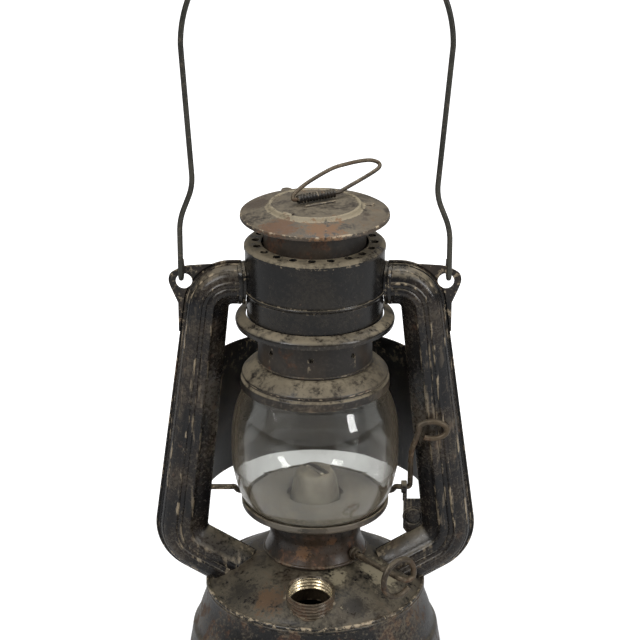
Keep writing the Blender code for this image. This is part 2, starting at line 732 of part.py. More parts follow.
def build_chimney(paint, chimney):
    top = PLATE_TOP_HEIGHT
    shoulder = PLATE_SHOULDER_HEIGHT
    outer = [
        (PLATE_HOLE_RADIUS, top),
        (CHIMNEY_RADIUS + SHEET, top),
        (CHIMNEY_RADIUS + (PLATE_SHOULDER_RADIUS - CHIMNEY_RADIUS) * 0.6, shoulder + PLATE_RISE * 0.72),
        (PLATE_SHOULDER_RADIUS, shoulder + PLATE_RISE * 0.34),
        (PLATE_SHOULDER_RADIUS - PLATE_GROOVE, shoulder + PLATE_RISE * 0.2),
        (PLATE_LIP_RADIUS, shoulder + PLATE_RISE * 0.06),
        (PLATE_LIP_RADIUS, shoulder - PLATE_LIP_DROP),
    ]
    add_object("globe_plate", turned_mesh("globe_plate", sheet_profile(outer, SHEET)), paint, chimney)

    neck = CHIMNEY_NECK_RADIUS
    outer = [
        (neck, CHIMNEY_TOP_HEIGHT),
        (neck, CHIMNEY_SHOULDER_HEIGHT + CHIMNEY_SHOULDER_RISE),
        (CHIMNEY_RADIUS, CHIMNEY_SHOULDER_HEIGHT),
        (CHIMNEY_RADIUS, CHIMNEY_FOOT_HEIGHT),
    ]
    mesh = turned_mesh("chimney_tube", sheet_profile(outer, SHEET))
    tube = add_object("chimney_tube", mesh, paint, chimney)
    bm = bmesh.new()
    for hole in range(CHIMNEY_HOLES):
        angle = CHIMNEY_HOLE_TURN + math.tau * hole / CHIMNEY_HOLES
        out = Vector((math.cos(angle), math.sin(angle), 0))
        turn = out.to_track_quat("Z", "Y").to_matrix().to_4x4()
        bmesh.ops.create_cone(
            bm,
            cap_ends=True,
            segments=8,
            radius1=CHIMNEY_HOLE_RADIUS,
            radius2=CHIMNEY_HOLE_RADIUS,
            depth=OVERRUN,
            matrix=Matrix.Translation(out * CHIMNEY_RADIUS + UP * CHIMNEY_HOLE_HEIGHT) @ turn,
        )
    change_shape(tube, mesh_from(bm, "chimney_holes"), "DIFFERENCE")


def loop_point(along, up):
    """A point of the cap's wire loop, from its place along the hinge and its height in the loop's plane."""
    hinge = Vector((math.cos(STRAP_ANGLE), math.sin(STRAP_ANGLE), 0))
    back = Vector((-math.sin(STRAP_ANGLE), math.cos(STRAP_ANGLE), 0))
    lean = back * math.cos(LOOP_LEAN) + UP * math.sin(LOOP_LEAN)
    return Vector((STRAP_OFFSET_X, STRAP_OFFSET_Y, STRAP_HEIGHT)) + hinge * along + lean * up


def build_cap(paint, rusty, chimney):
    foot = CAP_FOOT_HEIGHT
    slope_top = foot + CAP_SLOPE_RISE
    outer = [
        (0, CAP_TOP_HEIGHT),
        (CAP_STEP_RADIUS - SHEET, CAP_TOP_HEIGHT),
        (CAP_STEP_RADIUS + SHEET, slope_top),
        (CAP_RADIUS - SHEET, foot + CAP_SLOPE_RISE * 0.12),
        (CAP_RADIUS, foot - CAP_RIM_DROP * 0.3),
        (CAP_RADIUS - SHEET * 0.4, foot - CAP_RIM_DROP),
    ]
    inner = offset_line(outer, -SHEET)
    inner[0] = (0, inner[0][1])
    mesh = turned_mesh("cap", outer + inner[::-1])
    add_object("cap", mesh, paint, chimney)

    half = STRAP_LENGTH / 2
    bore = LOOP_WIRE + SEAT_GAP
    strap = ring_mesh("cap_strap", STRAP_RADIUS, bore, loop_point(-half, 0), loop_point(half, 0), 12)
    add_object("cap_strap", strap, paint, chimney)

    loop = place_on_hinge("cap_loop_hinge", loop_point(0, 0))
    end = LOOP_SPAN / 2
    gap = half / 10
    path = [loop_point(gap, 0), loop_point(end, 0)]
    corner = [loop_point(-end, 0), loop_point(-gap, 0)]
    ring = [loop_point(LOOP_REACH * a, LOOP_HEIGHT * b) for a, b in LOOP_SHARES]
    wire = round_corners(path + ring[::-1] + corner, LOOP_WIRE * 2, 2)
    wire_object("cap_loop", wire, LOOP_WIRE, rusty, loop, 1)


def build_hood(paint):
    radius = HOOD_RADIUS
    bead = HOOD_FOOT_HEIGHT + HOOD_BEAD_HEIGHT
    outer = [
        (radius, HOOD_TOP_HEIGHT),
        (radius, bead + HOOD_BEAD_WIDTH / 2),
        (radius + HOOD_BEAD, bead),
        (radius - HOOD_BEAD / 2, bead - HOOD_BEAD_WIDTH / 2),
        (radius - HOOD_BEAD, HOOD_FOOT_HEIGHT),
    ]
    mesh = turned_mesh("hood_shell", sheet_profile(outer, SHEET))
    shell = add_object("hood_shell", mesh, paint)
    window_size = (radius * 3, HOOD_WINDOW_WIDTH, HOOD_WINDOW_HEIGHT)
    change_shape(shell, box_mesh("hood_window", window_size, (0, 0, TUBE_TOP_HEIGHT)), "DIFFERENCE")

    top = LID_TOP_HEIGHT
    outer = [
        (LID_HOLE_RADIUS, top),
        (radius - LID_BEVEL, top),
        (radius + HOOD_BEAD / 2, top - LID_BEVEL),
        (radius + HOOD_BEAD / 2, LID_FOOT_HEIGHT),
    ]
    lid = add_object("hood_lid", turned_mesh("hood_lid", sheet_profile(outer, SHEET)), paint)
    bm = bmesh.new()
    for vent in range(LID_VENTS):
        angle = LID_VENT_TURN + math.tau * vent / LID_VENTS
        out = Vector((math.cos(angle), math.sin(angle), 0))
        bmesh.ops.create_cone(
            bm,
            cap_ends=True,
            segments=8,
            radius1=LID_VENT_RADIUS,
            radius2=LID_VENT_RADIUS,
            depth=OVERRUN,
            matrix=Matrix.Translation(out * LID_VENT_CIRCLE + UP * top),
        )
    change_shape(lid, mesh_from(bm, "lid_vents"), "DIFFERENCE")

    inner = radius + SEAT_GAP - HOOD_BEAD / 2
    high = HOOD_FOOT_HEIGHT - HOOD_BEAD
    outer = [
        (inner, high + FLANGE_DROP * 0.45),
        (FLANGE_RADIUS - FLANGE_DROP * 0.25, high + FLANGE_DROP * 0.12),
        (FLANGE_RADIUS, high - FLANGE_DROP * 0.25),
        (FLANGE_RADIUS - SHEET * 0.4, high - FLANGE_DROP * 0.75),
    ]
    add_object("hood_flange", turned_mesh("hood_flange", sheet_profile(outer, SHEET)), paint)


def build_spring(steel):
    """The hidden spring that holds the chimney down, from the tube's shoulder up to the lid."""
    inner_radius = SPRING_RADIUS * math.cos(math.pi / SPRING_TURN_POINTS)
    slope = CHIMNEY_SHOULDER_RISE / (CHIMNEY_RADIUS - CHIMNEY_NECK_RADIUS)
    seat = CHIMNEY_SHOULDER_HEIGHT + (CHIMNEY_RADIUS - inner_radius) * slope
    foot = seat + (SPRING_WIRE + SEAT_GAP) * math.hypot(1, slope)
    top = LID_TOP_HEIGHT - SHEET - SPRING_WIRE - SEAT_GAP
    points = []
    count = SPRING_TURNS * SPRING_TURN_POINTS
    for step in range(count + 1):
        angle = math.tau * step / SPRING_TURN_POINTS
        height = foot + (top - foot) * step / count
        points.append(Vector((SPRING_RADIUS * math.cos(angle), SPRING_RADIUS * math.sin(angle), height)))
    gap = min(
        (points[later] - point).length
        for index, point in enumerate(points)
        for later in range(index + SPRING_TURN_POINTS // 2, len(points))
    )
    print(f"hold_down_spring: least gap between curls {(gap - SPRING_WIRE * 2) * 1000:.2f} mm")
    wire_object("hold_down_spring", points, SPRING_WIRE, steel, resolution=1)


def tube_path():
    """Stations of a side tube's middle line: point, outward normal and half width, all in the XZ plane."""
    top = Vector((TUBE_END_RADIUS, TUBE_TOP_HEIGHT))
    corner = Vector((TUBE_CORNER_X, TUBE_TOP_HEIGHT))
    elbow = Vector((TUBE_ELBOW_X, TUBE_ELBOW_HEIGHT))
    foot = elbow + Vector((-math.cos(TUBE_FOOT_SLOPE), -math.sin(TUBE_FOOT_SLOPE))) * TUBE_FOOT_LENGTH
    stations = [(top, Vector((0, 1)), TUBE_TOP_HALF_WIDTH)]
    for point, before, after, radius, steps, width in (
        (corner, top, elbow, TUBE_CORNER_RADIUS, CORNER_STEPS, TUBE_TOP_HALF_WIDTH),
        (elbow, corner, foot, TUBE_ELBOW_RADIUS, ELBOW_STEPS, TUBE_HALF_WIDTH),
    ):
        back = (before - point).normalized()
        forth = (after - point).normalized()
        half = math.acos(back.dot(forth)) / 2
        centre = point + (back + forth).normalized() * radius / math.sin(half)
        first = (point + back * radius / math.tan(half) - centre).normalized()
        last = (point + forth * radius / math.tan(half) - centre).normalized()
        if len(stations) > 2:
            start = stations[-1][0]
            end = centre + first * radius
            for step in range(1, STRAIGHT_STEPS):
                share = step / STRAIGHT_STEPS
                wide = TUBE_TOP_HALF_WIDTH + (TUBE_HALF_WIDTH - TUBE_TOP_HALF_WIDTH) * share
                stations.append((start.lerp(end, share), first, wide))
        sweep = math.acos(max(-1, min(1, first.dot(last))))
        for step in range(steps):
            share = step / (steps - 1)
            out = (first * math.sin(sweep * (1 - share)) + last * math.sin(sweep * share)) / math.sin(sweep)
            stations.append((centre + out * radius, out, width))
        after_normal = last
    stations.append((foot, after_normal, TUBE_HALF_WIDTH))
    return stations


def ear_outline():
    """The outer edge of the ear plate, from the hood round the tip and down the tube."""
    return [
        Vector((HOOD_RADIUS, EAR_ROOT_HEIGHT)),
        Vector((EAR_SHOULDER_X, EAR_TOP_HEIGHT)),
        Vector((EAR_TIP_X - EAR_ROUNDING * 0.4, EAR_TIP_HEIGHT + EAR_ROUNDING)),
        Vector((EAR_TIP_X, EAR_TIP_HEIGHT)),
        Vector((EAR_TIP_X - EAR_ROUNDING * 0.4, EAR_TIP_HEIGHT - EAR_ROUNDING)),
        Vector((EAR_LOW_X, EAR_LOW_HEIGHT)),
        Vector((EAR_LOW_X, EAR_FOOT_HEIGHT)),
    ]


def ear_reach(point, normal):
    """How far the ear plate's edge lies from a point of the middle line, along the outward normal."""
    reach = 0
    outline = ear_outline()
    for start, end in zip(outline, outline[1:]):
        edge = end - start
        cross = normal.x * edge.y - normal.y * edge.x
        if abs(cross) < MERGE:
            continue
        gap = start - point
        along = (gap.x * edge.y - gap.y * edge.x) / cross
        share = (gap.x * normal.y - gap.y * normal.x) / cross
        if 0 <= share <= 1 and along > reach:
            reach = along
    return reach


def foot_slide(point):
    """How far a point of the tube's last ring moves along the foot's slope to stop just over the dome."""
    travel = TUBE_FOOT_LENGTH
    low = -travel
    high = travel
    for _ in range(40):
        middle = (low + high) / 2
        x = point.x - math.cos(TUBE_FOOT_SLOPE) * middle
        z = point.z - math.sin(TUBE_FOOT_SLOPE) * middle
        if z > dome_height(math.hypot(x, point.y)) + SEAT_GAP * 2:
            low = middle
        else:
            high = middle
    return low


def tube_half_mesh(name, side, face, fin):
    """One pressing of a side tube: a channel swept along the tube, with its fin at the outer edge."""
    bm = bmesh.new()
    rings = []
    stations = tube_path()
    for index, (point, normal, width) in enumerate(stations):
        depth = TUBE_HALF_DEPTH
        outer = [(width * n, depth * y) for n, y in TUBE_SECTION_SHARES]
        inner = offset_line(outer, TUBE_WALL)
        low = SEAT_GAP / 2
        inner[0] = (inner[0][0], low)
        inner[-1] = (inner[-1][0], low)
        outer[-1] = (outer[-1][0], low)
        tip = width + fin
        if face > 0:
            tip = max(tip, ear_reach(point, normal))
        edge = [(tip, low), (tip, low + TUBE_WALL)]
        outer[0] = (outer[0][0], low + TUBE_WALL)
        section = edge + outer + inner[::-1]
        ring = []
        for out, deep in section:
            place = Vector((point.x + normal.x * out, face * deep, point.y + normal.y * out))
            if index == 0:
                place.x = math.sqrt(TUBE_END_RADIUS**2 - place.y**2)
            if index == len(stations) - 1:
                slide = foot_slide(place)
                place.x -= math.cos(TUBE_FOOT_SLOPE) * slide
                place.z -= math.sin(TUBE_FOOT_SLOPE) * slide
            ring.append(bm.verts.new((place.x * side, place.y, place.z)))
        rings.append(ring)
    for first, second in zip(rings, rings[1:]):
        count = len(first)
        for spot in range(count):
            beyond = (spot + 1) % count
            bm.faces.new((first[spot], first[beyond], second[beyond], second[spot]))
    bm.faces.new(rings[0])
    bm.faces.new(rings[-1][::-1])
    return mesh_from(bm, name)


def tube_collar_mesh(name, side):
    """The flared ring between a tube's end and the hood, with the tube's own section."""
    front = [(TUBE_TOP_HALF_WIDTH * n, -TUBE_HALF_DEPTH * y) for n, y in TUBE_SECTION_SHARES]
    rear = [(up, -deep) for up, deep in reversed(front)]
    section = front + rear
    bm = bmesh.new()
    rings = []
    for radius, step in (
        (COLLAR_SEAT_RADIUS, TUBE_COLLAR_STEP),
        (COLLAR_SEAT_RADIUS + TUBE_COLLAR_REACH, TUBE_COLLAR_STEP * 0.7),
        (COLLAR_SEAT_RADIUS + TUBE_COLLAR_REACH, -TUBE_WALL),
        (COLLAR_SEAT_RADIUS, -TUBE_WALL),
    ):
        ring = []
        for up, deep in section:
            wider = 1 + step / math.hypot(up, deep)
            y = deep * wider
            spot = (side * math.sqrt(radius**2 - y**2), y, TUBE_TOP_HEIGHT + up * wider)
            ring.append(bm.verts.new(spot))
        rings.append(ring)
    for first, second in zip(rings, rings[1:] + rings[:1]):
        count = len(first)
        for spot in range(count):
            beyond = (spot + 1) % count
            bm.faces.new((first[spot], first[beyond], second[beyond], second[spot]))
    return mesh_from(bm, name)


def build_tubes(paint):
    for side, label in ((-1, "left"), (1, "right")):
        front = add_object(f"{label}_tube_front", tube_half_mesh("tube_front", side, -1, FRONT_FIN), paint)
        rear = add_object(f"{label}_tube_rear", tube_half_mesh("tube_rear", side, 1, REAR_FIN), paint)
        start = (side * EAR_HOLE_X, -OVERRUN, EAR_HOLE_HEIGHT)
        end = (side * EAR_HOLE_X, OVERRUN, EAR_HOLE_HEIGHT)
        change_shape(rear, rod_mesh("ear_hole", EAR_HOLE_RADIUS, start, end, 16), "DIFFERENCE")
        if side < 0:
            start = (-LIFT_SHOULDER_X, 0, LIFT_HEIGHT)
            end = (-LIFT_LEFT_END_X - OVERRUN / 2, 0, LIFT_HEIGHT)
            for half in (front, rear):
                cutter = rod_mesh("lift_wire_hole", LIFT_WIRE + RUNNING_GAP, start, end, 12)
                change_shape(half, cutter, "DIFFERENCE")

        add_object(f"{label}_tube_collar", tube_collar_mesh("tube_collar", side), paint)


def bail_leg(side, drop):
    """One leg of the bail, from the end of its hook up to the arch; the kink sits lower by the drop."""
    front = EAR_MIDDLE_Y - BAIL_HOOK_RADIUS
    leg = BAIL_HINGE_HEIGHT + BAIL_LOW_LEG - drop
    points = []
    for step in range(BAIL_HOOK_STEPS):
        angle = math.pi - BAIL_HOOK_ARC * (1 - step / BAIL_HOOK_STEPS)
        back = math.cos(angle) * BAIL_HOOK_RADIUS
        down = math.sin(angle) * BAIL_HOOK_RADIUS
        points.append(Vector((side * BAIL_LEG_X, EAR_MIDDLE_Y + back, BAIL_HINGE_HEIGHT - down)))
    corners = [
        Vector((side * BAIL_LEG_X, front, BAIL_HINGE_HEIGHT)),
        Vector((side * BAIL_LEG_X, front, leg)),
        Vector((side * BAIL_KINK_X, front, leg + BAIL_KINK_RISE)),
        Vector((BAIL_ARCH_SHIFT + side * BAIL_ARCH_RADIUS, front, BAIL_ARCH_HEIGHT)),
    ]
    return points + round_corners(corners, BAIL_BEND)[:-1]


def build_bail(steel):
    hinge = place_on_hinge("bail_hinge", (0, EAR_MIDDLE_Y, BAIL_HINGE_HEIGHT))
    front = EAR_MIDDLE_Y - BAIL_HOOK_RADIUS
    arch = []
    for step in range(BAIL_ARCH_STEPS + 1):
        angle = math.pi * step / BAIL_ARCH_STEPS
        x = BAIL_ARCH_SHIFT + BAIL_ARCH_RADIUS * math.cos(angle)
        z = BAIL_ARCH_HEIGHT + BAIL_ARCH_RADIUS * math.sin(angle)
        arch.append(Vector((x, front, z)))
    path = bail_leg(1, BAIL_RIGHT_DROP) + arch + bail_leg(-1, 0)[::-1]
    wire_object("bail", path, BAIL_WIRE, steel, hinge)


def lift_bow():
    """The part of the lift wire under the dish's rear half, from the right round the back to the left."""
    height = DISH_FOOT_HEIGHT + DISH_SEAT_RISE - LIFT_WIRE - SEAT_GAP
    reach = LIFT_SHOULDER_X
    lip = DISH_LIP_RADIUS + LIFT_WIRE + SHEET
    right = [
        Vector((reach, 0, LIFT_HEIGHT)),
        Vector((reach - LIFT_WIRE * 1.5, LIFT_WIRE * 2, LIFT_HEIGHT - LIFT_WIRE)),
        Vector((lip, lip * 0.2, LIFT_HEIGHT - LIFT_WIRE * 4)),
        Vector((lip * 0.94, lip * 0.34, height + LIFT_WIRE * 1.5)),
        Vector((lip * 0.84, lip * 0.44, height + LIFT_WIRE * 0.2)),
    ]
    start = math.radians(36)
    bow = []
    for step in range(LIFT_BOW_STEPS + 1):
        angle = start + (math.pi - start * 2) * step / LIFT_BOW_STEPS
        bow.append(Vector((LIFT_BOW_RADIUS * math.cos(angle), LIFT_BOW_RADIUS * math.sin(angle), height)))
    left = [Vector((-point.x, point.y, point.z)) for point in reversed(right)]
    return right + bow + left


def build_lift_wire(rusty, paint):
    hinge = place_on_hinge("lift_hinge", (0, 0, LIFT_HEIGHT))
    stem = LEVER_CURL_HEIGHT
    lean = LEVER_LEAN
    lever = [
        (LEVER_X, -lean * 0.02, LIFT_HEIGHT + LIFT_WIRE * 2),
        (LEVER_X - LIFT_WIRE * 0.1, -lean * 0.33, LIFT_HEIGHT + stem * 0.36),
        (LEVER_X + LIFT_WIRE * 0.2, -lean * 0.70, LIFT_HEIGHT + stem * 0.60),
        (LEVER_X + CURL_WIDTH * 0.14, -lean * 0.94, LIFT_HEIGHT + stem * 0.77),
        (LEVER_X + CURL_WIDTH * 0.22, -lean, LIFT_HEIGHT + stem * 0.90),
    ]
    curl = []
    centre_x = LEVER_X + CURL_WIDTH * 0.66
    centre_z = LIFT_HEIGHT + stem - CURL_HEIGHT / 2
    for step in range(11):
        angle = math.radians(150 - 27 * step)
        x = centre_x + math.cos(angle) * CURL_WIDTH / 2
        z = centre_z + math.sin(angle) * CURL_HEIGHT / 2
        curl.append((x, -lean, z))
    bend = [(LEVER_X - LIFT_WIRE * 0.4, 0, LIFT_HEIGHT + LIFT_WIRE * 0.3)]
    straight = [(EYE_START_X + EYE_LENGTH, 0, LIFT_HEIGHT)]
    left_end = [(-LIFT_LEFT_END_X, 0, LIFT_HEIGHT)]
    path = curl[::-1] + lever[::-1] + bend + straight + lift_bow() + left_end
    wire_object("lift_wire", path, LIFT_WIRE, rusty, hinge)

    edge = [
        (point.x - normal.x * (width + SEAT_GAP * 2), point.y - normal.y * (width + SEAT_GAP * 2))
        for point, normal, width in tube_path()
    ]
    edge = [(x, z) for x, z in edge if x > BRACKET_LEFT_X and BRACKET_FOOT_HEIGHT < z < BRACKET_TOP_HEIGHT]
    top_x = TUBE_ELBOW_X - (TUBE_ELBOW_X - TUBE_CORNER_X) * (
        (BRACKET_TOP_HEIGHT - TUBE_ELBOW_HEIGHT) / (TUBE_TOP_HEIGHT - TUBE_ELBOW_HEIGHT)
    )
    outline = [
        (BRACKET_LEFT_X, BRACKET_TOP_HEIGHT),
        (top_x - TUBE_HALF_WIDTH - SEAT_GAP * 2, BRACKET_TOP_HEIGHT),
        *edge,
        (BRACKET_LEFT_X + SHEET * 2, BRACKET_FOOT_HEIGHT),
        (BRACKET_LEFT_X, BRACKET_FOOT_HEIGHT + SHEET * 3),
    ]
    bracket = add_object("lift_bracket", plate_mesh("lift_bracket", outline, BRACKET_THICKNESS), paint)
    boss_start = (BOSS_X, -BRACKET_THICKNESS / 2 - BOSS_RISE, BOSS_HEIGHT)
    boss_end = (BOSS_X, 0, BOSS_HEIGHT)
    change_shape(bracket, rod_mesh("bracket_boss", BOSS_RADIUS, boss_start, boss_end, 16), "UNION")
    neck_height = LIFT_HEIGHT - EYE_RADIUS * 0.8 - BRACKET_TOP_HEIGHT + SHEET
    neck_middle = BRACKET_TOP_HEIGHT - SHEET + neck_height / 2
    neck_size = (BRACKET_NECK_WIDTH, BRACKET_THICKNESS * 0.9, neck_height)
    neck_x = EYE_START_X + EYE_LENGTH / 2 + BRACKET_THICKNESS * 0.4
    change_shape(bracket, box_mesh("bracket_neck", neck_size, (neck_x, 0, neck_middle)), "UNION")
    eye_start = (EYE_START_X, 0, LIFT_HEIGHT)
    eye_end = (EYE_START_X + EYE_LENGTH, 0, LIFT_HEIGHT)
    change_shape(bracket, rod_mesh("bracket_eye", EYE_RADIUS, eye_start, eye_end, 16), "UNION")
    bore_start = (EYE_START_X - OVERRUN, 0, LIFT_HEIGHT)
    bore_end = (EYE_START_X + EYE_LENGTH + OVERRUN, 0, LIFT_HEIGHT)
    bore = rod_mesh("bracket_bore", LIFT_WIRE + RUNNING_GAP, bore_start, bore_end, 16)
    change_shape(bracket, bore, "DIFFERENCE")


def build_shield(paint):
    """The curved sheet behind the globe, which rests against the backs of both tubes."""
    rest = TUBE_HALF_DEPTH * 0.95 + SEAT_GAP
    reach = math.acos(rest / (SHIELD_RADIUS - SHIELD_SHEET))
    bm = bmesh.new()
    columns = []
    for step in range(SHIELD_STEPS + 1):
        angle = reach * (2 * step / SHIELD_STEPS - 1)
        from_edge = (reach - abs(angle)) * SHIELD_RADIUS
        share = max(0, 1 - from_edge / SHIELD_CORNER_WIDTH)
        top = SHIELD_TOP_HEIGHT - SHIELD_CORNER_DROP * (1 - math.sqrt(1 - share**2))
        column = []
        for radius, height in (
            (SHIELD_RADIUS, SHIELD_FOOT_HEIGHT),
            (SHIELD_RADIUS, top),
            (SHIELD_RADIUS - SHIELD_SHEET, top),
            (SHIELD_RADIUS - SHIELD_SHEET, SHIELD_FOOT_HEIGHT),
        ):
            spot = (math.sin(angle) * radius, math.cos(angle) * radius, height)
            column.append(bm.verts.new(spot))
        columns.append(column)
    for first, second in zip(columns, columns[1:]):
        for spot in range(4):
            beyond = (spot + 1) % 4
            bm.faces.new((first[spot], first[beyond], second[beyond], second[spot]))
    bm.faces.new(columns[0])
    bm.faces.new(columns[-1][::-1])
    add_object("rear_shield", mesh_from(bm, "rear_shield"), paint)


def build_lantern():
    clear_scene()
    paint = make_material("black_paint", (0.035, 0.033, 0.031), 0.55, 0.3)
    dusty = make_material("dusty_paint", (0.13, 0.11, 0.085), 0.75, 0.1)
    rusty = make_material("rusty_wire", (0.12, 0.085, 0.06), 0.65, 0.5)
    steel = make_material("grey_wire", (0.16, 0.16, 0.14), 0.45, 0.7)
    brass = make_material("worn_brass", (0.30, 0.22, 0.11), 0.45, 0.8)
    glass = make_material("clear_glass", (0.85, 0.87, 0.86), 0.05, 0.0, 0.35)
    cloth = make_material("wick_cloth", (0.45, 0.40, 0.32), 0.9, 0.0)
    lift = place_on_hinge("globe_lift", (0, 0, DISH_FOOT_HEIGHT))
    chimney = place_on_hinge("chimney_lift", (0, 0, PLATE_SHOULDER_HEIGHT))
    build_tank(paint, brass)
    build_burner(paint, brass, cloth)
    build_wick_shaft(paint, rusty, brass)
    build_dish(paint, lift)
    build_globe(glass, lift)
    build_chimney(dusty, chimney)
    build_cap(dusty, rusty, chimney)
    build_hood(paint)
    build_spring(steel)
    build_tubes(paint)
    build_bail(steel)
    build_lift_wire(rusty, paint)
    build_shield(paint)


build_lantern()
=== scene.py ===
"""An old black-painted tubular kerosene lantern, rusty and dusty, on a plain studio floor."""

import math

import bmesh
import bpy
from mathutils import Matrix, Vector


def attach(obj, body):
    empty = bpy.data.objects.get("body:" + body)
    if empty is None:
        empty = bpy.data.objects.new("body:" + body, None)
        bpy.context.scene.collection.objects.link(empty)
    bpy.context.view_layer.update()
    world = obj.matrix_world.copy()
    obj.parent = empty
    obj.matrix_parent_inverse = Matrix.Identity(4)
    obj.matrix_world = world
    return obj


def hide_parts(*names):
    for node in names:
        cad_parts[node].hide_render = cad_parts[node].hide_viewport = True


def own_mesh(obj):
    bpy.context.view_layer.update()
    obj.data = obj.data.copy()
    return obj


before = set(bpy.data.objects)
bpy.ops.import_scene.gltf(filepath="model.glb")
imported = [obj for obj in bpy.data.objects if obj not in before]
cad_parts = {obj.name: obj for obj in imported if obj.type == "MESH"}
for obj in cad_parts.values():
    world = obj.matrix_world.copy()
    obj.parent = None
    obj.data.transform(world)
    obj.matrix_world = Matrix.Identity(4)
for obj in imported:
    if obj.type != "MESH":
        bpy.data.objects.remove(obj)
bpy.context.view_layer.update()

# The camera stands a metre in front of the lantern and looks down on it by 22 degrees. The startup
# scene's own things are taken out first.
for name in ("Cube", "Light", "Camera"):
    if name in bpy.data.objects:
        bpy.data.objects.remove(bpy.data.objects[name])
camera_lens = bpy.data.cameras.new("camera")
camera_lens.sensor_width = 36
camera_lens.lens = 130.76
camera = bpy.data.objects.new("camera", camera_lens)
camera.location = (0.00245, -1.0562, 0.6196)
camera.rotation_euler = (math.radians(67.96), 0, 0)
bpy.context.scene.collection.objects.link(camera)
bpy.context.scene.camera = camera
bpy.context.scene.view_settings.view_transform = "Standard"


# The studio: white all round for the camera and through the glass, and dim as a light and in the
# paint. A tall soft box at each side in front gives the long sheens, and a broad one lights the top.
class Value:
    """One output of a node. Arithmetic on it adds the nodes that work it out."""

    def __init__(self, tree, output):
        self.tree = tree
        self.output = output

    def node(self, kind, settings, inputs, give=0):
        """A new node, whose settings are set before its inputs, and the output asked for."""
        made = self.tree.nodes.new(kind)
        for name, setting in settings.items():
            setattr(made, name, setting)
        for name, given in inputs.items():
            socket = made.inputs[name]
            if isinstance(given, Value):
                self.tree.links.new(given.output, socket)
            elif socket.type == "RGBA" and len(given) == 3:
                socket.default_value = (*given, 1)
            else:
                socket.default_value = given
        return Value(self.tree, made.outputs[give])

    def work(self, operation, first, second):
        return self.node("ShaderNodeMath", {"operation": operation}, {0: first, 1: second})

    def __add__(self, other):
        return self.work("ADD", self, other)

    def __radd__(self, other):
        return self.work("ADD", other, self)

    def __sub__(self, other):
        return self.work("SUBTRACT", self, other)

    def __rsub__(self, other):
        return self.work("SUBTRACT", other, self)

    def __mul__(self, other):
        return self.work("MULTIPLY", self, other)

    def __rmul__(self, other):
        return self.work("MULTIPLY", other, self)

    def most(self, other):
        return self.work("MAXIMUM", self, other)

    def ramp(self, low, high):
        """Rises smoothly from 0 to 1 as the value goes from low to high."""
        return self.node(
            "ShaderNodeMapRange",
            {"interpolation_type": "SMOOTHSTEP"},
            {"Value": self, "From Min": low, "From Max": high},
        )

    def colour(self, under, over):
        """The two colours mixed, with this value as the upper one's share."""
        return self.node("ShaderNodeMix", {"data_type": "RGBA"}, {0: self, 6: under, 7: over}, 2)

    def noise(self, scale, detail, roughness=0.58):
        return self.node(
            "ShaderNodeTexNoise",
            {},
            {"Vector": self, "Scale": scale, "Detail": detail, "Roughness": roughness},
        )

    def moved(self, offset, stretch=(1, 1, 1)):
        return self.node(
            "ShaderNodeMapping", {"vector_type": "POINT"}, {
                "Vector": self, "Location": offset, "Scale": stretch
            }
        )

    def away_from(self, point):
        return self.node("ShaderNodeVectorMath", {"operation": "DISTANCE"}, {0: self, 1: point}, "Value")

    def part(self, axis):
        return self.node("ShaderNodeSeparateXYZ", {}, {0: self}, axis)


world = bpy.data.worlds.new("studio")
bpy.context.scene.world = world
world.use_nodes = True
background = world.node_tree.nodes["Background"]
light_path = world.node_tree.nodes.new("ShaderNodeLightPath")
seen = Value(world.node_tree, light_path.outputs["Is Camera Ray"])
seen = seen.most(Value(world.node_tree, light_path.outputs["Is Transmission Ray"]))
mirrored = Value(world.node_tree, light_path.outputs["Is Glossy Ray"])
world.node_tree.links.new((seen * 0.82 + mirrored * 0.05 + 0.18).output, background.inputs["Strength"])
background.inputs["Color"].default_value = (1, 1, 1, 1)
for name, place, width, height, power in (
    ("key_light", (-0.80, -0.95, 1.15), 0.45, 0.9, 14.0),
    ("fill_light", (0.95, -0.65, 0.75), 0.25, 0.9, 9.0),
    ("top_light", (0.10, 0.35, 1.45), 0.9, 0.9, 11.0),
):
    light = bpy.data.lights.new(name, "AREA")
    light.shape = "RECTANGLE"
    light.size = width
    light.size_y = height
    light.energy = power
    lamp = bpy.data.objects.new(name, light)
    lamp.location = place
    lamp.rotation_euler = (Vector((0, 0, 0.17)) - Vector(place)).to_track_quat("-Z", "Y").to_euler()
    bpy.context.scene.collection.objects.link(lamp)

floor_shape = bmesh.new()
bmesh.ops.create_grid(floor_shape, x_segments=1, y_segments=1, size=6)
floor_mesh = bpy.data.meshes.new("floor")
floor_shape.to_mesh(floor_mesh)
floor_shape.free()
floor = bpy.data.objects.new("floor", floor_mesh)
bpy.context.scene.collection.objects.link(floor)
floor_colour = bpy.data.materials.new("floor")
floor_colour.use_nodes = True
floor_shader = floor_colour.node_tree.nodes["Principled BSDF"]
floor_shader.inputs["Base Color"].default_value = (0.60, 0.60, 0.60, 1)
floor_shader.inputs["Roughness"].default_value = 0.9
floor_shader.inputs["Emission Color"].default_value = (1, 1, 1, 1)
floor_tree = floor_colour.node_tree
floor_place = Value(floor_tree, floor_tree.nodes.new("ShaderNodeTexCoord").outputs["Object"])
floor_seen = Value(floor_tree, floor_tree.nodes.new("ShaderNodeLightPath").outputs["Is Camera Ray"])
floor_glow = (floor_place.away_from((0, 0, 0)).ramp(0.02, 0.5) * 0.5 + 0.55) * floor_seen
floor_tree.links.new(floor_glow.output, floor_shader.inputs["Emission Strength"])
floor.data.materials.append(floor_colour)

# The tank: a drawn side wall with a pressed step, and a rolled base seamed to its foot. Black
# enamel over tinned sheet, with beige specks where it has flaked, and cream along its ridge that is
# partly bare tin and partly a painted highlight.
TAN = (0.245, 0.205, 0.140)
CREAM = (0.47, 0.38, 0.26)
RUST = (0.115, 0.052, 0.026)
DARK_RUST = (0.036, 0.019, 0.012)


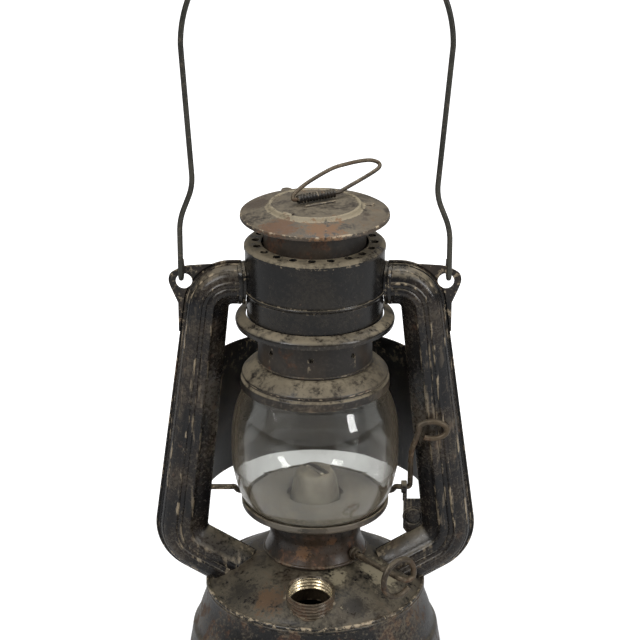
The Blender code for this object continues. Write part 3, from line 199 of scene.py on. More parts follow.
def old_paint(
    name, tone, brown, rust, dust, chips_and_highlights, gloss=0.36, shift=0.0, spots=(), metal=0.0, grime=0.12, streak=1.0
):
    """Aged enamel: two tones of it, rust patches, settled dust, stains, and cream on convex edges that is
    partly chipped paint and partly a painted highlight.

    A spot is (centre, radius, colour, hollow) in mm, where hollow is a ring's inner radius or left out.
    Rust, dust, chips and grime go from 0 to 1, and a streak under 1 draws the chips out upwards. The chips'
    cream on convex edges is partly a painted highlight.
    """
    material = bpy.data.materials.new(name)
    material.use_nodes = True
    tree = material.node_tree
    shader = tree.nodes["Principled BSDF"]
    coordinates = tree.nodes.new("ShaderNodeTexCoord")
    place = Value(tree, coordinates.outputs["Object"])
    upward = Value(tree, coordinates.outputs["Normal"]).part("Z")
    edge_wear_and_highlight = place.node("ShaderNodeAttribute", {"attribute_name": "convex_edge"}, {}, "Fac")
    spread = place.moved((shift, shift * 1.7, shift * 0.6))
    broad = spread.noise(34, 4)
    middle = spread.noise(135, 6, 0.62)
    fine = spread.noise(640, 5, 0.62)
    specks = spread.noise(1500, 3)

    look = broad.ramp(0.40, 0.62).colour(tone, brown)
    look = (fine.ramp(0.45, 0.75) * 0.5).colour(look, tuple(part * 2.6 for part in tone))
    rusty = (middle * 0.62 + broad * 0.38).ramp(0.66 - 0.18 * rust, 0.74 - 0.18 * rust)
    look = (rusty * (0.35 + 0.5 * rust)).colour(look, fine.ramp(0.35, 0.66).colour(DARK_RUST, RUST))
    settled = upward.ramp(0.30, 0.85) * (middle * 0.6 + fine * 0.4).ramp(0.36, 0.56)
    film = (broad * 0.5 + fine * 0.5).ramp(0.48, 0.62) * grime
    dusty = settled.most(film) * dust
    look = dusty.colour(look, broad.ramp(0.4, 0.6).colour(TAN, tuple(part * 0.72 for part in TAN)))
    height = middle * 0.5 + fine * 0.5 - rusty * 0.15
    for centre, radius, colour, *hollow in spots:
        away = place.away_from(tuple(part / 1000 for part in centre))
        if hollow:
            inside = away.ramp(hollow[0] / 1000 - 0.0012, hollow[0] / 1000)
            near = inside * (1 - away.ramp(radius / 1000, radius / 1000 + 0.0015))
        else:
            near = 1 - away.ramp(0, radius * 0.00125)
        ragged = (broad - 0.5) * 1.2 + (middle - 0.5) * 1.6 + (fine - 0.5) * 1.4
        stain = (near * 0.8 + ragged).ramp(0.32, 0.62)
        look = (stain * 0.8).colour(look, colour)
    flecks = specks.ramp(0.70, 0.74) * (0.6 * chips_and_highlights)
    drawn = place.moved((shift, 0.1, 0.2), (1, 1, streak)).noise(420, 5, 0.62)
    # Cream on convex edges and ridges: partly paint worn to bare metal, partly a painted highlight where the
    # edges catch the light.
    scuffs_and_highlights = edge_wear_and_highlight * (middle * 0.35 + drawn * 0.65).ramp(0.58 - 0.08 * chips_and_highlights, 0.63 - 0.06 * chips_and_highlights) * chips_and_highlights
    bare_and_highlights = flecks.most(scuffs_and_highlights)
    look = bare_and_highlights.colour(look, CREAM)
    tree.links.new(look.output, shader.inputs["Base Color"])

    rough = gloss + (fine - 0.5) * 0.25 + dusty * 0.45 + rusty * (0.35 * rust)
    tree.links.new(rough.output, shader.inputs["Roughness"])
    shader.inputs["Metallic"].default_value = metal
    shader.inputs["Specular IOR Level"].default_value = 0.36
    bump = place.node(
        "ShaderNodeBump",
        {},
        {"Height": height + bare_and_highlights * 0.25, "Strength": 0.5, "Distance": 0.0003},
    )
    tree.links.new(bump.output, shader.inputs["Normal"])
    return material


def rounded(points, radius, steps=5):
    """The line with each inner corner replaced by a short curve."""
    path = [Vector(points[0])]
    for before, corner, after in zip(points, points[1:], points[2:]):
        corner = Vector(corner)
        back = Vector(before) - corner
        forth = Vector(after) - corner
        reach = min(radius, back.length / 2, forth.length / 2)
        start = corner + back.normalized() * reach
        end = corner + forth.normalized() * reach
        for step in range(steps + 1):
            share = step / steps
            path.append(start.lerp(corner, share).lerp(corner.lerp(end, share), share))
    path.append(Vector(points[-1]))
    return path


def eased(points, steps=5):
    """A smooth line through all the points."""
    spots = [Vector(point) for point in points]
    spots = [spots[0] * 2 - spots[1], *spots, spots[-1] * 2 - spots[-2]]
    path = []
    for a, b, c, d in zip(spots, spots[1:], spots[2:], spots[3:]):
        for step in range(steps):
            t = step / steps
            bend = (a * 2 - b * 5 + c * 4 - d) * t**2 + (b * 3 - a - c * 3 + d) * t**3
            path.append((b * 2 + (c - a) * t + bend) / 2)
    return path + [spots[-2]]


def arc(x, y, radius, start, end, steps=8):
    """Points on a part of a circle, from one angle in degrees to another."""
    angles = [math.radians(start + (end - start) * step / steps) for step in range(steps + 1)]
    return [Vector((x + radius * math.cos(angle), y + radius * math.sin(angle))) for angle in angles]


def sheet(line, wall):
    """The closed outline of a sheet: the line, and back along it at the wall's distance on its right."""
    line = [Vector(point) for point in line]
    line = [point for index, point in enumerate(line) if not index or (point - line[index - 1]).length > 0.02]
    for index in range(len(line) - 1, 0, -1):
        span = line[index] - line[index - 1]
        if span.length > 2.4:
            inset = span.normalized() * 0.7
            line[index:index] = [line[index - 1] + inset, line[index] - inset]
    inner = []
    for index, here in enumerate(line):
        before = line[max(index - 1, 0)]
        after = line[min(index + 1, len(line) - 1)]
        first = (here - before).normalized() if index else (after - here).normalized()
        second = (after - here).normalized() if index < len(line) - 1 else first
        side = Vector((first.y + second.y, -first.x - second.x)).normalized()
        inner.append(here + side * wall / max(side.dot(Vector((first.y, -first.x))), 0.6))
    return line + inner[::-1]


def turned(profile, steps=96):
    """Spins a closed outline of (radius, height) points in mm round the Z axis."""
    shape = bmesh.new()
    corners = [shape.verts.new((point[0] if point[0] > 0.1 else 0, 0, point[1])) for point in profile]
    edges = [shape.edges.new(pair) for pair in zip(corners, corners[1:])]
    if corners[0].co.x or corners[-1].co.x:
        edges.append(shape.edges.new((corners[-1], corners[0])))
    bmesh.ops.spin(
        shape,
        geom=corners + edges,
        cent=(0, 0, 0),
        axis=(0, 0, 1),
        angle=math.tau,
        steps=steps,
        use_merge=True,
    )
    return shape


def outward(shape):
    """Turns all faces outwards, which recalculating alone can get wrong on a rounded lip."""
    bmesh.ops.recalc_face_normals(shape, faces=shape.faces)
    if shape.calc_volume(signed=True) < 0:
        bmesh.ops.reverse_faces(shape, faces=shape.faces)


def piece(name, shape, material, body, nodes):
    """Finishes a shape that was made in mm, and puts it on its body in place of its CAD nodes."""
    bmesh.ops.remove_doubles(shape, verts=shape.verts, dist=0.001)
    outward(shape)
    # How sharply each corner bends outwards. The paint puts cream there that is partly worn paint and partly
    # a painted highlight on edges and ridges.
    convex_edge = shape.verts.layers.float.new("convex_edge")
    for vert in shape.verts:
        turns = [edge.calc_face_angle_signed(0) for edge in vert.link_edges]
        vert[convex_edge] = min(1, max(0, max([0, *turns]) - 0.3) / 0.5)
    bmesh.ops.scale(shape, vec=(0.001, 0.001, 0.001), verts=shape.verts)
    mesh = bpy.data.meshes.new(name)
    shape.to_mesh(mesh)
    shape.free()
    mesh.shade_smooth()
    mesh.set_sharp_from_angle(angle=math.radians(38))
    item = bpy.data.objects.new(name, mesh)
    bpy.context.scene.collection.objects.link(item)
    item.data.materials.append(material)
    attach(item, body)
    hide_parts(*nodes)
    return item


BLACK = (0.0070, 0.0068, 0.0070)
BROWN = (0.027, 0.019, 0.0135)
tank_paint = old_paint("tank_paint", BLACK, BROWN, 0.85, 0.6, 1.0, gloss=0.30, shift=0.3, grime=0.85)
side_line = [(55.3, 47.0), (55.3, 46.1), (56.4, 41.2), (58.9, 34.0), (60.7, 28.2), (61.6, 26.4)]
side_line = [(54.4, 49.2), *arc(55.0, 48.3, 0.9, 80, -80), *eased(side_line, 6)]
side_line += rounded([(62.4, 25.6), (62.9, 24.6), (63.1, 23.0), (63.5, 20.6)], 1.0)
side_line += eased([(63.6, 19.5), (64.1, 16.6), (64.6, 13.9), (65.0, 9.0), (65.2, 4.5)], 4)
piece("tank_side", turned(sheet(side_line, 0.9)), tank_paint, "frame", ["tank_body"])

base_line = rounded(
    [(62.4, 3.3), (62.9, 4.2), (66.2, 4.2), (66.2, 0.0), (63.0, 0.0), (61.9, 2.4), (59.0, 2.4)], 1.3
)
base_line = [(0, 3.3), *base_line, (0, 2.4)]
piece("tank_foot", turned(base_line), tank_paint, "frame", ["tank_base"])


# The tank's dome: one drawn sheet, rolled over the side wall at the ridge, with a hole for the
# filler neck. Beige-olive dust lies round the collar and on the right, with rust at the front left.
def along(start, end):
    """The matrix that takes the Z axis to the line from one point to another."""
    start = Vector(start)
    return Matrix.Translation(start) @ (Vector(end) - start).to_track_quat("Z", "Y").to_matrix().to_4x4()


def rod(radius, start, end, steps=32):
    shape = bmesh.new()
    length = (Vector(end) - Vector(start)).length
    bmesh.ops.create_cone(
        shape,
        cap_ends=True,
        segments=steps,
        radius1=radius,
        radius2=radius,
        depth=length,
        matrix=along(start, end) @ Matrix.Translation((0, 0, length / 2)),
    )
    return shape


def helper(shape):
    mesh = bpy.data.meshes.new("helper")
    outward(shape)
    shape.to_mesh(mesh)
    shape.free()
    item = bpy.data.objects.new("helper", mesh)
    bpy.context.scene.collection.objects.link(item)
    return item


def cut(shape, tool):
    """The shape with the tool taken out of it."""
    bmesh.ops.remove_doubles(shape, verts=shape.verts, dist=0.001)
    item = helper(shape)
    cutter = helper(tool)
    modifier = item.modifiers.new("cut", "BOOLEAN")
    modifier.operation = "DIFFERENCE"
    modifier.solver = "EXACT"
    modifier.object = cutter
    graph = bpy.context.evaluated_depsgraph_get()
    mesh = bpy.data.meshes.new_from_object(item.evaluated_get(graph))
    left = bmesh.new()
    left.from_mesh(mesh)
    for used in (item, cutter):
        bpy.data.objects.remove(used)
    bpy.data.meshes.remove(mesh)
    return left


dome_paint = old_paint(
    "dome_paint",
    (0.0100, 0.0096, 0.0090),
    (0.034, 0.025, 0.017),
    0.6,
    0.4,
    1.0,
    gloss=0.28,
    shift=0.9,
    spots=[
        ((-24, -40, 60), 15, (0.105, 0.058, 0.028)),
        ((-38, -27, 58), 16, (0.012, 0.011, 0.010)),
        ((20, -42, 57), 10, (0.014, 0.012, 0.010)),
        ((33, -18, 62), 17, (0.27, 0.235, 0.16)),
        ((10, -27, 65), 11, (0.26, 0.225, 0.15)),
    ],
)
dome_line = eased([(24.9, 65.9), (28.8, 64.8), (36.5, 62.0), (43.7, 58.0), (50.3, 53.6), (53.4, 51.0)], 6)
dome_line = [(20.0, 67.3), (22.6, 66.9), *dome_line, (54.0, 50.6), *arc(54.9, 50.0, 1.0, 130, -95, 6)]
neck_top = Vector((-2.3, -40.6, 64.3))
neck_axis = Vector((0, -math.sin(math.radians(10)), math.cos(math.radians(10))))
dome = turned(sheet(dome_line, 0.9))
dome = cut(dome, rod(11.4, neck_top - neck_axis * 24, neck_top + neck_axis * 6))
piece("tank_top", dome, dome_paint, "frame", ["tank_dome"])


# The filler neck: a rolled brass screw neck, soldered into the dome and open at the top. It is
# dark brown outside, with cream on its rolled lip that is partly wear and partly a painted highlight,
# and the threads of its lining are worn bright.
def joined(first, *others):
    """Adds the other shapes to the first one, as loose shells of the same piece."""
    for other in others:
        copy = bpy.data.meshes.new("joined")
        other.to_mesh(copy)
        other.free()
        first.from_mesh(copy)
        bpy.data.meshes.remove(copy)
    return first


worn_brass = old_paint(
    "worn_brass", (0.030, 0.022, 0.014), (0.060, 0.044, 0.028), 0.85, 0.45, 0.85, gloss=0.30, shift=2.1,
    metal=0.3
)
bright_brass = old_paint(
    "bright_brass", (0.62, 0.53, 0.36), (0.42, 0.33, 0.20), 0.15, 0.1, 0.6, gloss=0.24, shift=2.7, metal=0.7
)
threads = []
for step in range(49):
    depth = 0.9 + step * 0.155
    threads.append((11.75 + 0.42 * math.sin(depth * math.tau / 2.0), -depth))
neck_line = [(11.0, -0.5), *arc(11.75, -0.4, 0.55, 160, 0, 8), *threads, (11.7, -15.0)]
neck = turned(sheet(neck_line, 0.35), 72)
lining = turned(sheet([(radius - 0.45, height) for radius, height in threads[2:]], 0.25), 72)
bmesh.ops.transform(lining, matrix=along(neck_top, neck_top + neck_axis), verts=lining.verts)
piece("bright_lining", lining, bright_brass, "frame", ["filler_neck"])
solder = turned(rounded([(11.9, -9.0), (12.6, -9.2), (12.9, -10.6), (12.4, -14.0), (11.9, -14.0)], 0.6), 72)
neck = joined(neck, solder)
bmesh.ops.transform(neck, matrix=along(neck_top, neck_top + neck_axis), verts=neck.verts)
piece("screw_neck", neck, worn_brass, "frame", ["filler_neck"])

# The burner collar: a spun waisted ring between the dome and the dish, with a hole for the wick
# shaft. Dark brown-black, with orange-brown patches.
BURNER_TURN = -50.5
burner_along = Vector((math.cos(math.radians(BURNER_TURN)), math.sin(math.radians(BURNER_TURN)), 0))
burner_across = Vector((-burner_along.y, burner_along.x, 0))
shaft_start = burner_across * 5.0 + Vector((0, 0, 72.0))
collar_paint = old_paint(
    "collar_paint",
    (0.014, 0.0115, 0.0095),
    (0.040, 0.024, 0.014),
    0.75,
    0.25,
    0.8,
    gloss=0.30,
    shift=1.4,
    spots=[((-6, -24, 76), 6, (0.13, 0.065, 0.028)), ((9, -22, 82), 5, (0.10, 0.05, 0.024))],
)
collar_line = [(24.2, 88.4), *arc(24.9, 87.9, 0.6, 90, -70, 7), (24.9, 86.6)]
collar_line += eased([(24.7, 85.8), (24.0, 82.8), (23.1, 79.3), (23.0, 76.0), (23.7, 73.2), (25.0, 70.2)], 5)
collar_line += [(25.5, 69.2), *arc(25.6, 68.3, 0.8, 80, -80, 7), (24.8, 67.5)]
collar = turned(sheet(collar_line, 0.9))
collar = cut(collar, rod(1.9, shaft_start, shaft_start + burner_along * 40))
piece("waisted_collar", collar, collar_paint, "frame", ["burner_collar"])

# Inside the burner: the base disc, the flat wick's tube, its cloth wick and the two gears that move
# it. They stay the CAD pieces, with their own aged brass and charred cloth.
inner_brass = old_paint(
    "inner_brass", (0.14, 0.10, 0.055), (0.24, 0.18, 0.10), 0.3, 0.5, 0.2, gloss=0.35, shift=3.3, metal=0.5
)
cloth = old_paint(
    "wick_cloth",
    (0.30, 0.26, 0.20),
    (0.40, 0.35, 0.27),
    0.1,
    0.2,
    0.0,
    gloss=0.85,
    shift=4.0,
    spots=[((0, 0, 113), 9, (0.012, 0.010, 0.009))],
)
for node, material, finish in (
    ("burner_base", inner_brass, "worn_brass"),
    ("wick_tube", inner_brass, "worn_brass"),
    ("inner_wick_gear", inner_brass, "worn_brass"),
    ("outer_wick_gear", inner_brass, "worn_brass"),
    ("wick", cloth, "wick_cloth"),
):
    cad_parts[node].data.materials.clear()
    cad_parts[node].data.materials.append(material)


# The burner cone: a spun brass dome over the wick, slotted for the flame and grey with old dust.
def box(size, centre, turn=0.0):
    shape = bmesh.new()
    place = Matrix.Rotation(math.radians(turn), 4, "Z") @ Matrix.Translation(centre)
    bmesh.ops.create_cube(shape, size=1, matrix=place @ Matrix.Diagonal((*size, 1)))
    return shape


cone_brass = old_paint(
    "cone_brass", (0.10, 0.088, 0.068), (0.17, 0.155, 0.125), 0.25, 0.6, 0.3, gloss=0.45, shift=5.2,
    metal=0.35
)
cone_line = [
    (0, 112.5), *eased([(3.0, 112.3), (7.6, 111.5), (9.8, 109.2), (11.4, 103.5), (12.5, 95.3),
    (13.0, 85.0)], 6)
]
cone_line += [(13.0, 80.5), *arc(13.0, 79.4, 0.7, 85, -60, 5)]
cone = turned(sheet(cone_line, 0.6), 72)
cone = cut(cone, box((15.8, 5.6, 12), (0, 0, 112.5), BURNER_TURN))
piece("flame_cone", cone, cone_brass, "frame", ["burner_cone"])


# The wick knob: one steel wire that runs in from the gears and is bent into a ring outside, with a
# small turned bush where it leaves the collar. Rusty olive-brown.
def wire(points, radius, sides=4):
    """A round wire with closed ends along a line of points in mm."""
    line = [Vector(points[0])]
    for point in points[1:]:
        if (Vector(point) - line[-1]).length > radius * 0.3:
            line.append(Vector(point))
    curve = bpy.data.curves.new("wire", "CURVE")
    curve.dimensions = "3D"
    curve.bevel_depth = radius
    curve.bevel_resolution = sides
    curve.use_fill_caps = True
    spline = curve.splines.new("POLY")
    spline.points.add(len(line) - 1)
    for spot, point in zip(spline.points, line):
        spot.co = (*point, 1)
    item = bpy.data.objects.new("wire", curve)
    bpy.context.scene.collection.objects.link(item)
    graph = bpy.context.evaluated_depsgraph_get()
    mesh = bpy.data.meshes.new_from_object(item.evaluated_get(graph))
    shape = bmesh.new()
    shape.from_mesh(mesh)
    bpy.data.objects.remove(item)
    bpy.data.meshes.remove(mesh)
    return shape


wire_rust = old_paint(
    "wire_rust", (0.042, 0.032, 0.022), (0.085, 0.062, 0.038), 0.7, 0.3, 0.6, gloss=0.42, shift=6.1,
    metal=0.35
)
knob_across = burner_across * math.cos(math.radians(-31)) + Vector((0, 0, math.sin(math.radians(-31))))
knob_other = burner_along.cross(knob_across)
knob_centre = shaft_start + burner_along * 58.8
knob_line = [shaft_start + burner_along * -7.5, knob_centre, knob_centre + knob_across * 6.9]
for step in range(49):
    angle = math.radians(18 + 324 * step / 48)
    knob_line.append(knob_centre + (knob_across * math.cos(angle) + knob_other * math.sin(angle)) * 9.8)
knob = wire(rounded(knob_line[:4], 2.2, 8) + knob_line[4:], 1.5, 6)
piece("knob_wire", knob, wire_rust, "wick_shaft", ["wick_knob"])

wall = math.sqrt(25.6**2 - 5.0**2)
bush_line = rounded([(1.9, -0.9), (3.4, -0.9), (3.4, 0.6), (2.9, 0.7), (2.9, 3.0), (1.9, 3.0)], 0.4)
bush = turned(bush_line, 40)
bush_start = shaft_start + burner_along * wall
bmesh.ops.transform(bush, matrix=along(bush_start, bush_start + burner_along), verts=bush.verts)
piece("turned_bush", bush, worn_brass, "frame", ["shaft_bush"])

# The globe dish: a pressed tray with a rolled lip, and in it the domed burner plate, grey with
# dust and soot, round the cone. It lifts with the globe.
dish_paint = old_paint(
    "dish_paint",
    (0.024, 0.021, 0.018),
    (0.060, 0.048, 0.034),
    0.45,
    0.55,
    0.8,
    gloss=0.34,
    shift=7.7,
    spots=[((-16, -34, 95), 13, (0.13, 0.115, 0.09)), ((14, -35, 95), 12, (0.12, 0.10, 0.075))],
)
dish_line = [(35.8, 95.6), *arc(36.45, 95.85, 0.6, 170, 0, 8), (37.0, 94.4)]
dish_line += rounded(
    [(37.0, 94.2), (36.5, 93.0), (35.0, 92.1), (28.6, 92.1), (26.2, 88.7), (16.0, 88.7)], 1.2
)
dish = turned(sheet([*dish_line, (14.8, 88.7)], 0.9))
piece("dish_tray", dish, dish_paint, "globe_carrier", ["globe_dish"])

plate_grey = old_paint(
    "plate_grey",
    (0.085, 0.080, 0.072),
    (0.13, 0.123, 0.11),
    0.15,
    0.3,
    0.4,
    gloss=0.5,
    shift=8.3,
    spots=[((19, -16, 96), 7, (0.09, 0.048, 0.030)), ((8, 12, 97), 6, (0.04, 0.032, 0.025))],
)
floor_line = [
    (13.9, 97.6), *arc(14.5, 97.9, 0.5, 160, 80, 5),
    *eased([(17, 98.6), (24, 98.4), (30, 97.8), (32.6, 97.2)], 4)
]
floor_line += arc(32.9, 96.7, 0.5, 70, -80, 5)
skirt = sheet([(29.3, 97.6), (29.3, 96.0), (29.3, 93.1)], 0.5)
dish_floor = joined(turned(sheet(floor_line, 0.5)), turned(skirt))
piece("burner_plate", dish_floor, plate_grey, "globe_carrier", ["globe_dish"])

# The globe: blown clear glass, milky and brownish with dust, and painted browner towards its
# outline as seen, which is partly that film seen edge-on and partly painted shade for the dark edges
# that refraction gives. Light passes through its thin wall, so that what stands inside is lit.
glass = bpy.data.materials.new("smoked_glass")
glass.use_nodes = True
tree = glass.node_tree
shader = tree.nodes["Principled BSDF"]
shader.inputs["Base Color"].default_value = (0.93, 0.94, 0.92, 1)
shader.inputs["Roughness"].default_value = 0.03
shader.inputs["IOR"].default_value = 1.45
shader.inputs["Transmission Weight"].default_value = 1
coordinates = Value(tree, tree.nodes.new("ShaderNodeTexCoord").outputs["Object"])
cloudy = coordinates.moved((0.2, 0.1, 0.4), (1, 1, 0.45)).noise(46, 5)
speckled = coordinates.noise(900, 4)
# The film thickens towards the outline as seen: partly dust seen edge-on, partly painted shade standing in
# for the glass's refracted dark edges.
edge = coordinates.node("ShaderNodeLayerWeight", {}, {"Blend": 0.28}, "Facing")
haze_and_edge_shade = cloudy.ramp(0.35, 0.75) * 0.08 + speckled.ramp(0.55, 0.8) * 0.06 + edge.ramp(0.2, 0.65) * 0.5 + 0.015
film = coordinates.node(
    "ShaderNodeBsdfPrincipled", {}, {"Base Color": (0.15, 0.122, 0.088, 1), "Roughness": 0.30}
)
passing = coordinates.node("ShaderNodeBsdfTransparent", {}, {"Color": (0.9, 0.9, 0.88, 1)})
shadow = Value(tree, tree.nodes.new("ShaderNodeLightPath").outputs["Is Shadow Ray"])
hazed_and_edge_shaded = coordinates.node("ShaderNodeMixShader", {}, {0: haze_and_edge_shade, 1: Value(tree, shader.outputs[0]), 2: film})
clear = coordinates.node("ShaderNodeMixShader", {}, {0: shadow * 0.9, 1: hazed_and_edge_shaded, 2: passing})
tree.links.new(clear.output, tree.nodes["Material Output"].inputs["Surface"])
globe_line = [(34.6, 161.7), *arc(34.4, 161.5, 0.6, 90, 20, 3)]
globe_line += eased(
    [(35.1, 159.3), (35.8, 155.6), (37.6, 151.4), (39.7, 145.9), (41.5, 136.6), (42.0, 125.6)], 6
)
globe_line += eased([(41.6, 116.0), (39.7, 107.1), (37.5, 100.5), (34.9, 96.1), (31.6, 93.3)], 6)
piece("glass_globe", turned(sheet(globe_line, 1.4), 112), glass, "globe_carrier", ["globe"])

# The globe plate: a pressed ring that holds the globe from above, with a groove and a turned-down
# lip. Dark brown-grey under dust, with cream along its edges that is partly chips and partly a
# painted highlight.
top_paint = old_paint(
    "top_paint", (0.017, 0.0145, 0.0125), (0.044, 0.034, 0.025), 0.45, 1.0, 0.9, gloss=0.32, shift=9.4,
    grime=0.35
)
plate_line = [
    (26.5, 171.6), *rounded([(27.6, 171.6), (29.4, 171.4), (33.2, 168.9), (36.1, 165.9), (36.3, 165.1)],
    1.6)
]
plate_line += rounded([(36.1, 164.7), (35.3, 164.2), (35.9, 163.4), (36.9, 162.8), (36.9, 160.0)], 0.6)
plate_line += [*arc(36.5, 159.2, 0.6, 20, -150, 7)]
piece("globe_ring", turned(sheet(plate_line, 0.8)), top_paint, "chimney", ["globe_plate"])

# The chimney tube: rolled sheet with a ring of small air holes and a shoulder inside the hood,
# where it narrows to the neck that carries the cap.
stack_paint = old_paint(
    "stack_paint", (0.016, 0.0135, 0.0115), (0.042, 0.030, 0.020), 0.7, 0.35, 0.5, gloss=0.45, shift=10.5
)
stack_line = [
    (24.9, 249.5), *rounded([(24.9, 246.0), (24.9, 206.0), (28.2, 198.5), (28.2, 174.0)], 2.5),
    (28.2, 173.2)
]
stack_line += [*arc(28.3, 172.6, 0.5, 90, -90, 5)]
stack = turned(sheet(stack_line, 0.8))
for hole in range(8):
    angle = math.radians(-94 + 45 * hole)
    out = Vector((math.cos(angle), math.sin(angle), 0))
    stack = cut(stack, rod(1.3, out * 25 + Vector((0, 0, 182)), out * 31 + Vector((0, 0, 182)), 16))
piece("stack", stack, stack_paint, "chimney", ["chimney_tube"])

# The cap: a pressed canopy crimped to the chimney by three tabs, with two ribs beside its strap.
# Brown-grey dust, a light ring at the inner disc's step, and rust towards the front rim.
cap_paint = old_paint(
    "cap_paint",
    (0.030, 0.023, 0.017),
    (0.070, 0.053, 0.038),
    0.65,
    0.5,
    1.0,
    gloss=0.40,
    shift=11.8,
    spots=[
        ((0, 0, 252.5), 23.6, (0.29, 0.245, 0.165), 21.2),
        ((6, -31, 249), 17, (0.17, 0.085, 0.038)),
        ((-17, -25, 249), 13, (0.12, 0.060, 0.030)),
        ((-27, 6, 249), 12, (0.060, 0.043, 0.030)),
    ],
)
cap_line = rounded(
    [(19.0, 252.4), (20.6, 252.4), (21.2, 252.9), (22.2, 252.9), (23.4, 251.1), (25.5, 250.8),
    (34.6, 248.8), (36.1, 247.9)], 0.9
)
cap_line = [(0, 252.4), *cap_line, *arc(35.6, 246.6, 0.7, 35, -120, 8)]
cap = turned(sheet(cap_line, 0.8))
for x, y, z in ((-12.6, -15.9, 252.7), (26.1, 4.2, 250.6), (-14.0, 29.8, 249.0)):
    tab = rod(2.7, (x, y, z - 0.4), (x, y, z + 0.7), 24)
    bmesh.ops.bevel(
        tab,
        geom=[edge for edge in tab.edges if edge.verts[0].co.z > z and edge.verts[1].co.z > z],
        offset=0.45,
        segments=3,
        affect="EDGES",
        profile=0.5,
        material=-1,
    )
    cap = joined(cap, tab)
for off in (-4.6, 4.6):
    rib = box((16.5, 1.3, 1.3), (1.5, off + 1.9, 252.7), 28)
    bmesh.ops.bevel(
        rib, geom=rib.edges[:], offset=0.4, segments=3, affect="EDGES", profile=0.5, material=-1
    )
    cap = joined(cap, rib)
piece("canopy", cap, cap_paint, "chimney", ["cap"])

# The cap's strap: a knurled barrel of dark steel, riveted across the disc, which the wire loop
# turns in.
strap_paint = old_paint(
    "strap_paint", (0.012, 0.0105, 0.0095), (0.030, 0.022, 0.015), 0.6, 0.3, 0.6, gloss=0.4, shift=12.2
)
STRAP_TURN = math.radians(28)
strap_along = Vector((math.cos(STRAP_TURN), math.sin(STRAP_TURN), 0))
strap_back = Vector((-math.sin(STRAP_TURN), math.cos(STRAP_TURN), 0))
strap_middle = Vector((0.4, 2.4, 255.3))
strap_line = []
for step in range(81):
    spot = step * 0.25
    strap_line.append((1.95 + 0.28 * math.cos(spot * math.tau / 1.6), 20 - spot))
strap_line = [(1.35, 20.0), *strap_line, (1.35, 0.0)]
strap = turned(strap_line, 32)
strap_start = strap_middle - strap_along * 10
bmesh.ops.transform(strap, matrix=along(strap_start, strap_middle), verts=strap.verts)
piece("knurled_strap", strap, strap_paint, "chimney", ["cap_strap"])

# The cap's loop: rusty steel wire, bent into an oval and sprung into the two ends of the strap. It
# leans back at rest.
lean = strap_back * math.cos(math.radians(50)) + Vector((0, 0, math.sin(math.radians(50))))
loop_shares = [
    (-0.29, 0.18), (-0.17, 0.38), (0.02, 0.61), (0.34, 0.90), (0.58, 0.98), (0.76, 1.00), (0.89, 0.97)
]
loop_shares += [(0.97, 0.88), (1.00, 0.76), (0.96, 0.62), (0.78, 0.42), (0.52, 0.18), (0.38, 0.05)]
loop_ring = [strap_middle + strap_along * (39.0 * a) + lean * (13.9 * b) for a, b in loop_shares]
loop_line = [strap_middle + strap_along, strap_middle + strap_along * 12.6, *loop_ring[::-1]]
loop_line += [strap_middle - strap_along * 12.6, strap_middle - strap_along]
loop_line = rounded(loop_line[:3], 2.0, 8)[:-1] + eased(loop_line[2:-2], 6) + rounded(loop_line[-3:], 2.0, 8)[
    1:
]
piece("loop_wire", wire(loop_line, 1.0, 5), wire_rust, "cap_loop", ["cap_loop"])

# The hood: a rolled cylinder with a bead, open to both side tubes. Near black, with cream specks
# and dust in the bead's crease.
hood_paint = old_paint(
    "hood_paint", (0.0045, 0.0044, 0.0046), (0.010, 0.0085, 0.0070), 0.3, 0.5, 0.5, gloss=0.20, shift=13.6,
    grime=0.12
)
hood_line = [(34.0, 230.5), (34.0, 222), (34.0, 211.0), *arc(33.95, 209.7, 0.75, 70, -70, 7), (33.7, 208.2)]
hood_line += [(33.5, 204.0), (33.4, 200.0), (33.4, 195.7)]
hood = turned(sheet(hood_line, 0.9), 128)
HOOD_PORT_HEIGHT = 211.0
hood = cut(hood, box((102, 11, 15), (0, 0, HOOD_PORT_HEIGHT)))
piece("hood_cylinder", hood, hood_paint, "frame", ["hood_shell"])

# The hood's lid: a pressed and bevelled ring with twenty punched air holes, seamed to the cylinder.
# Dusty enamel on top, shiny at its edge.
lid_paint = old_paint(
    "lid_paint", (0.010, 0.0098, 0.0098), (0.026, 0.021, 0.016), 0.35, 0.95, 0.35, gloss=0.20, shift=14.1
)
lid_line = [
    (25.9, 232.9), *arc(26.4, 232.9, 0.5, 170, 90, 4),
    *rounded([(28, 233.4), (32.6, 233.4), (34.4, 231.9)], 0.8)
]
lid = turned(sheet([*lid_line, (34.5, 230.7)], 0.9), 160)
VENTS = 20
VENT_RING_RADIUS = 28.9
VENT_RADIUS = 1.9
for vent in range(VENTS):
    angle = math.radians(-92.8 + 360 / VENTS * vent)
    x = VENT_RING_RADIUS * math.cos(angle)
    y = VENT_RING_RADIUS * math.sin(angle)
    lid = cut(lid, rod(VENT_RADIUS, (x, y, 229), (x, y, 237), 20))
piece("vented_lid", lid, lid_paint, "frame", ["hood_lid"])

# The hood's flange: a flared ring of pressed sheet, seamed to the foot of the cylinder. Dusty
# enamel above, shiny in front.
flange_line = [
    (34.0, 197.2), *rounded([(35.0, 196.9), (38.0, 195.7), (39.0, 194.6), (39.2, 193.6), (38.9, 192.6)],
    0.9)
]
flange_line += [*arc(38.3, 192.2, 0.6, 20, -140, 6)]
piece(
    "flared_flange", turned(sheet(flange_line, 0.8), 128), lid_paint, "frame", ["hood_flange"],
)

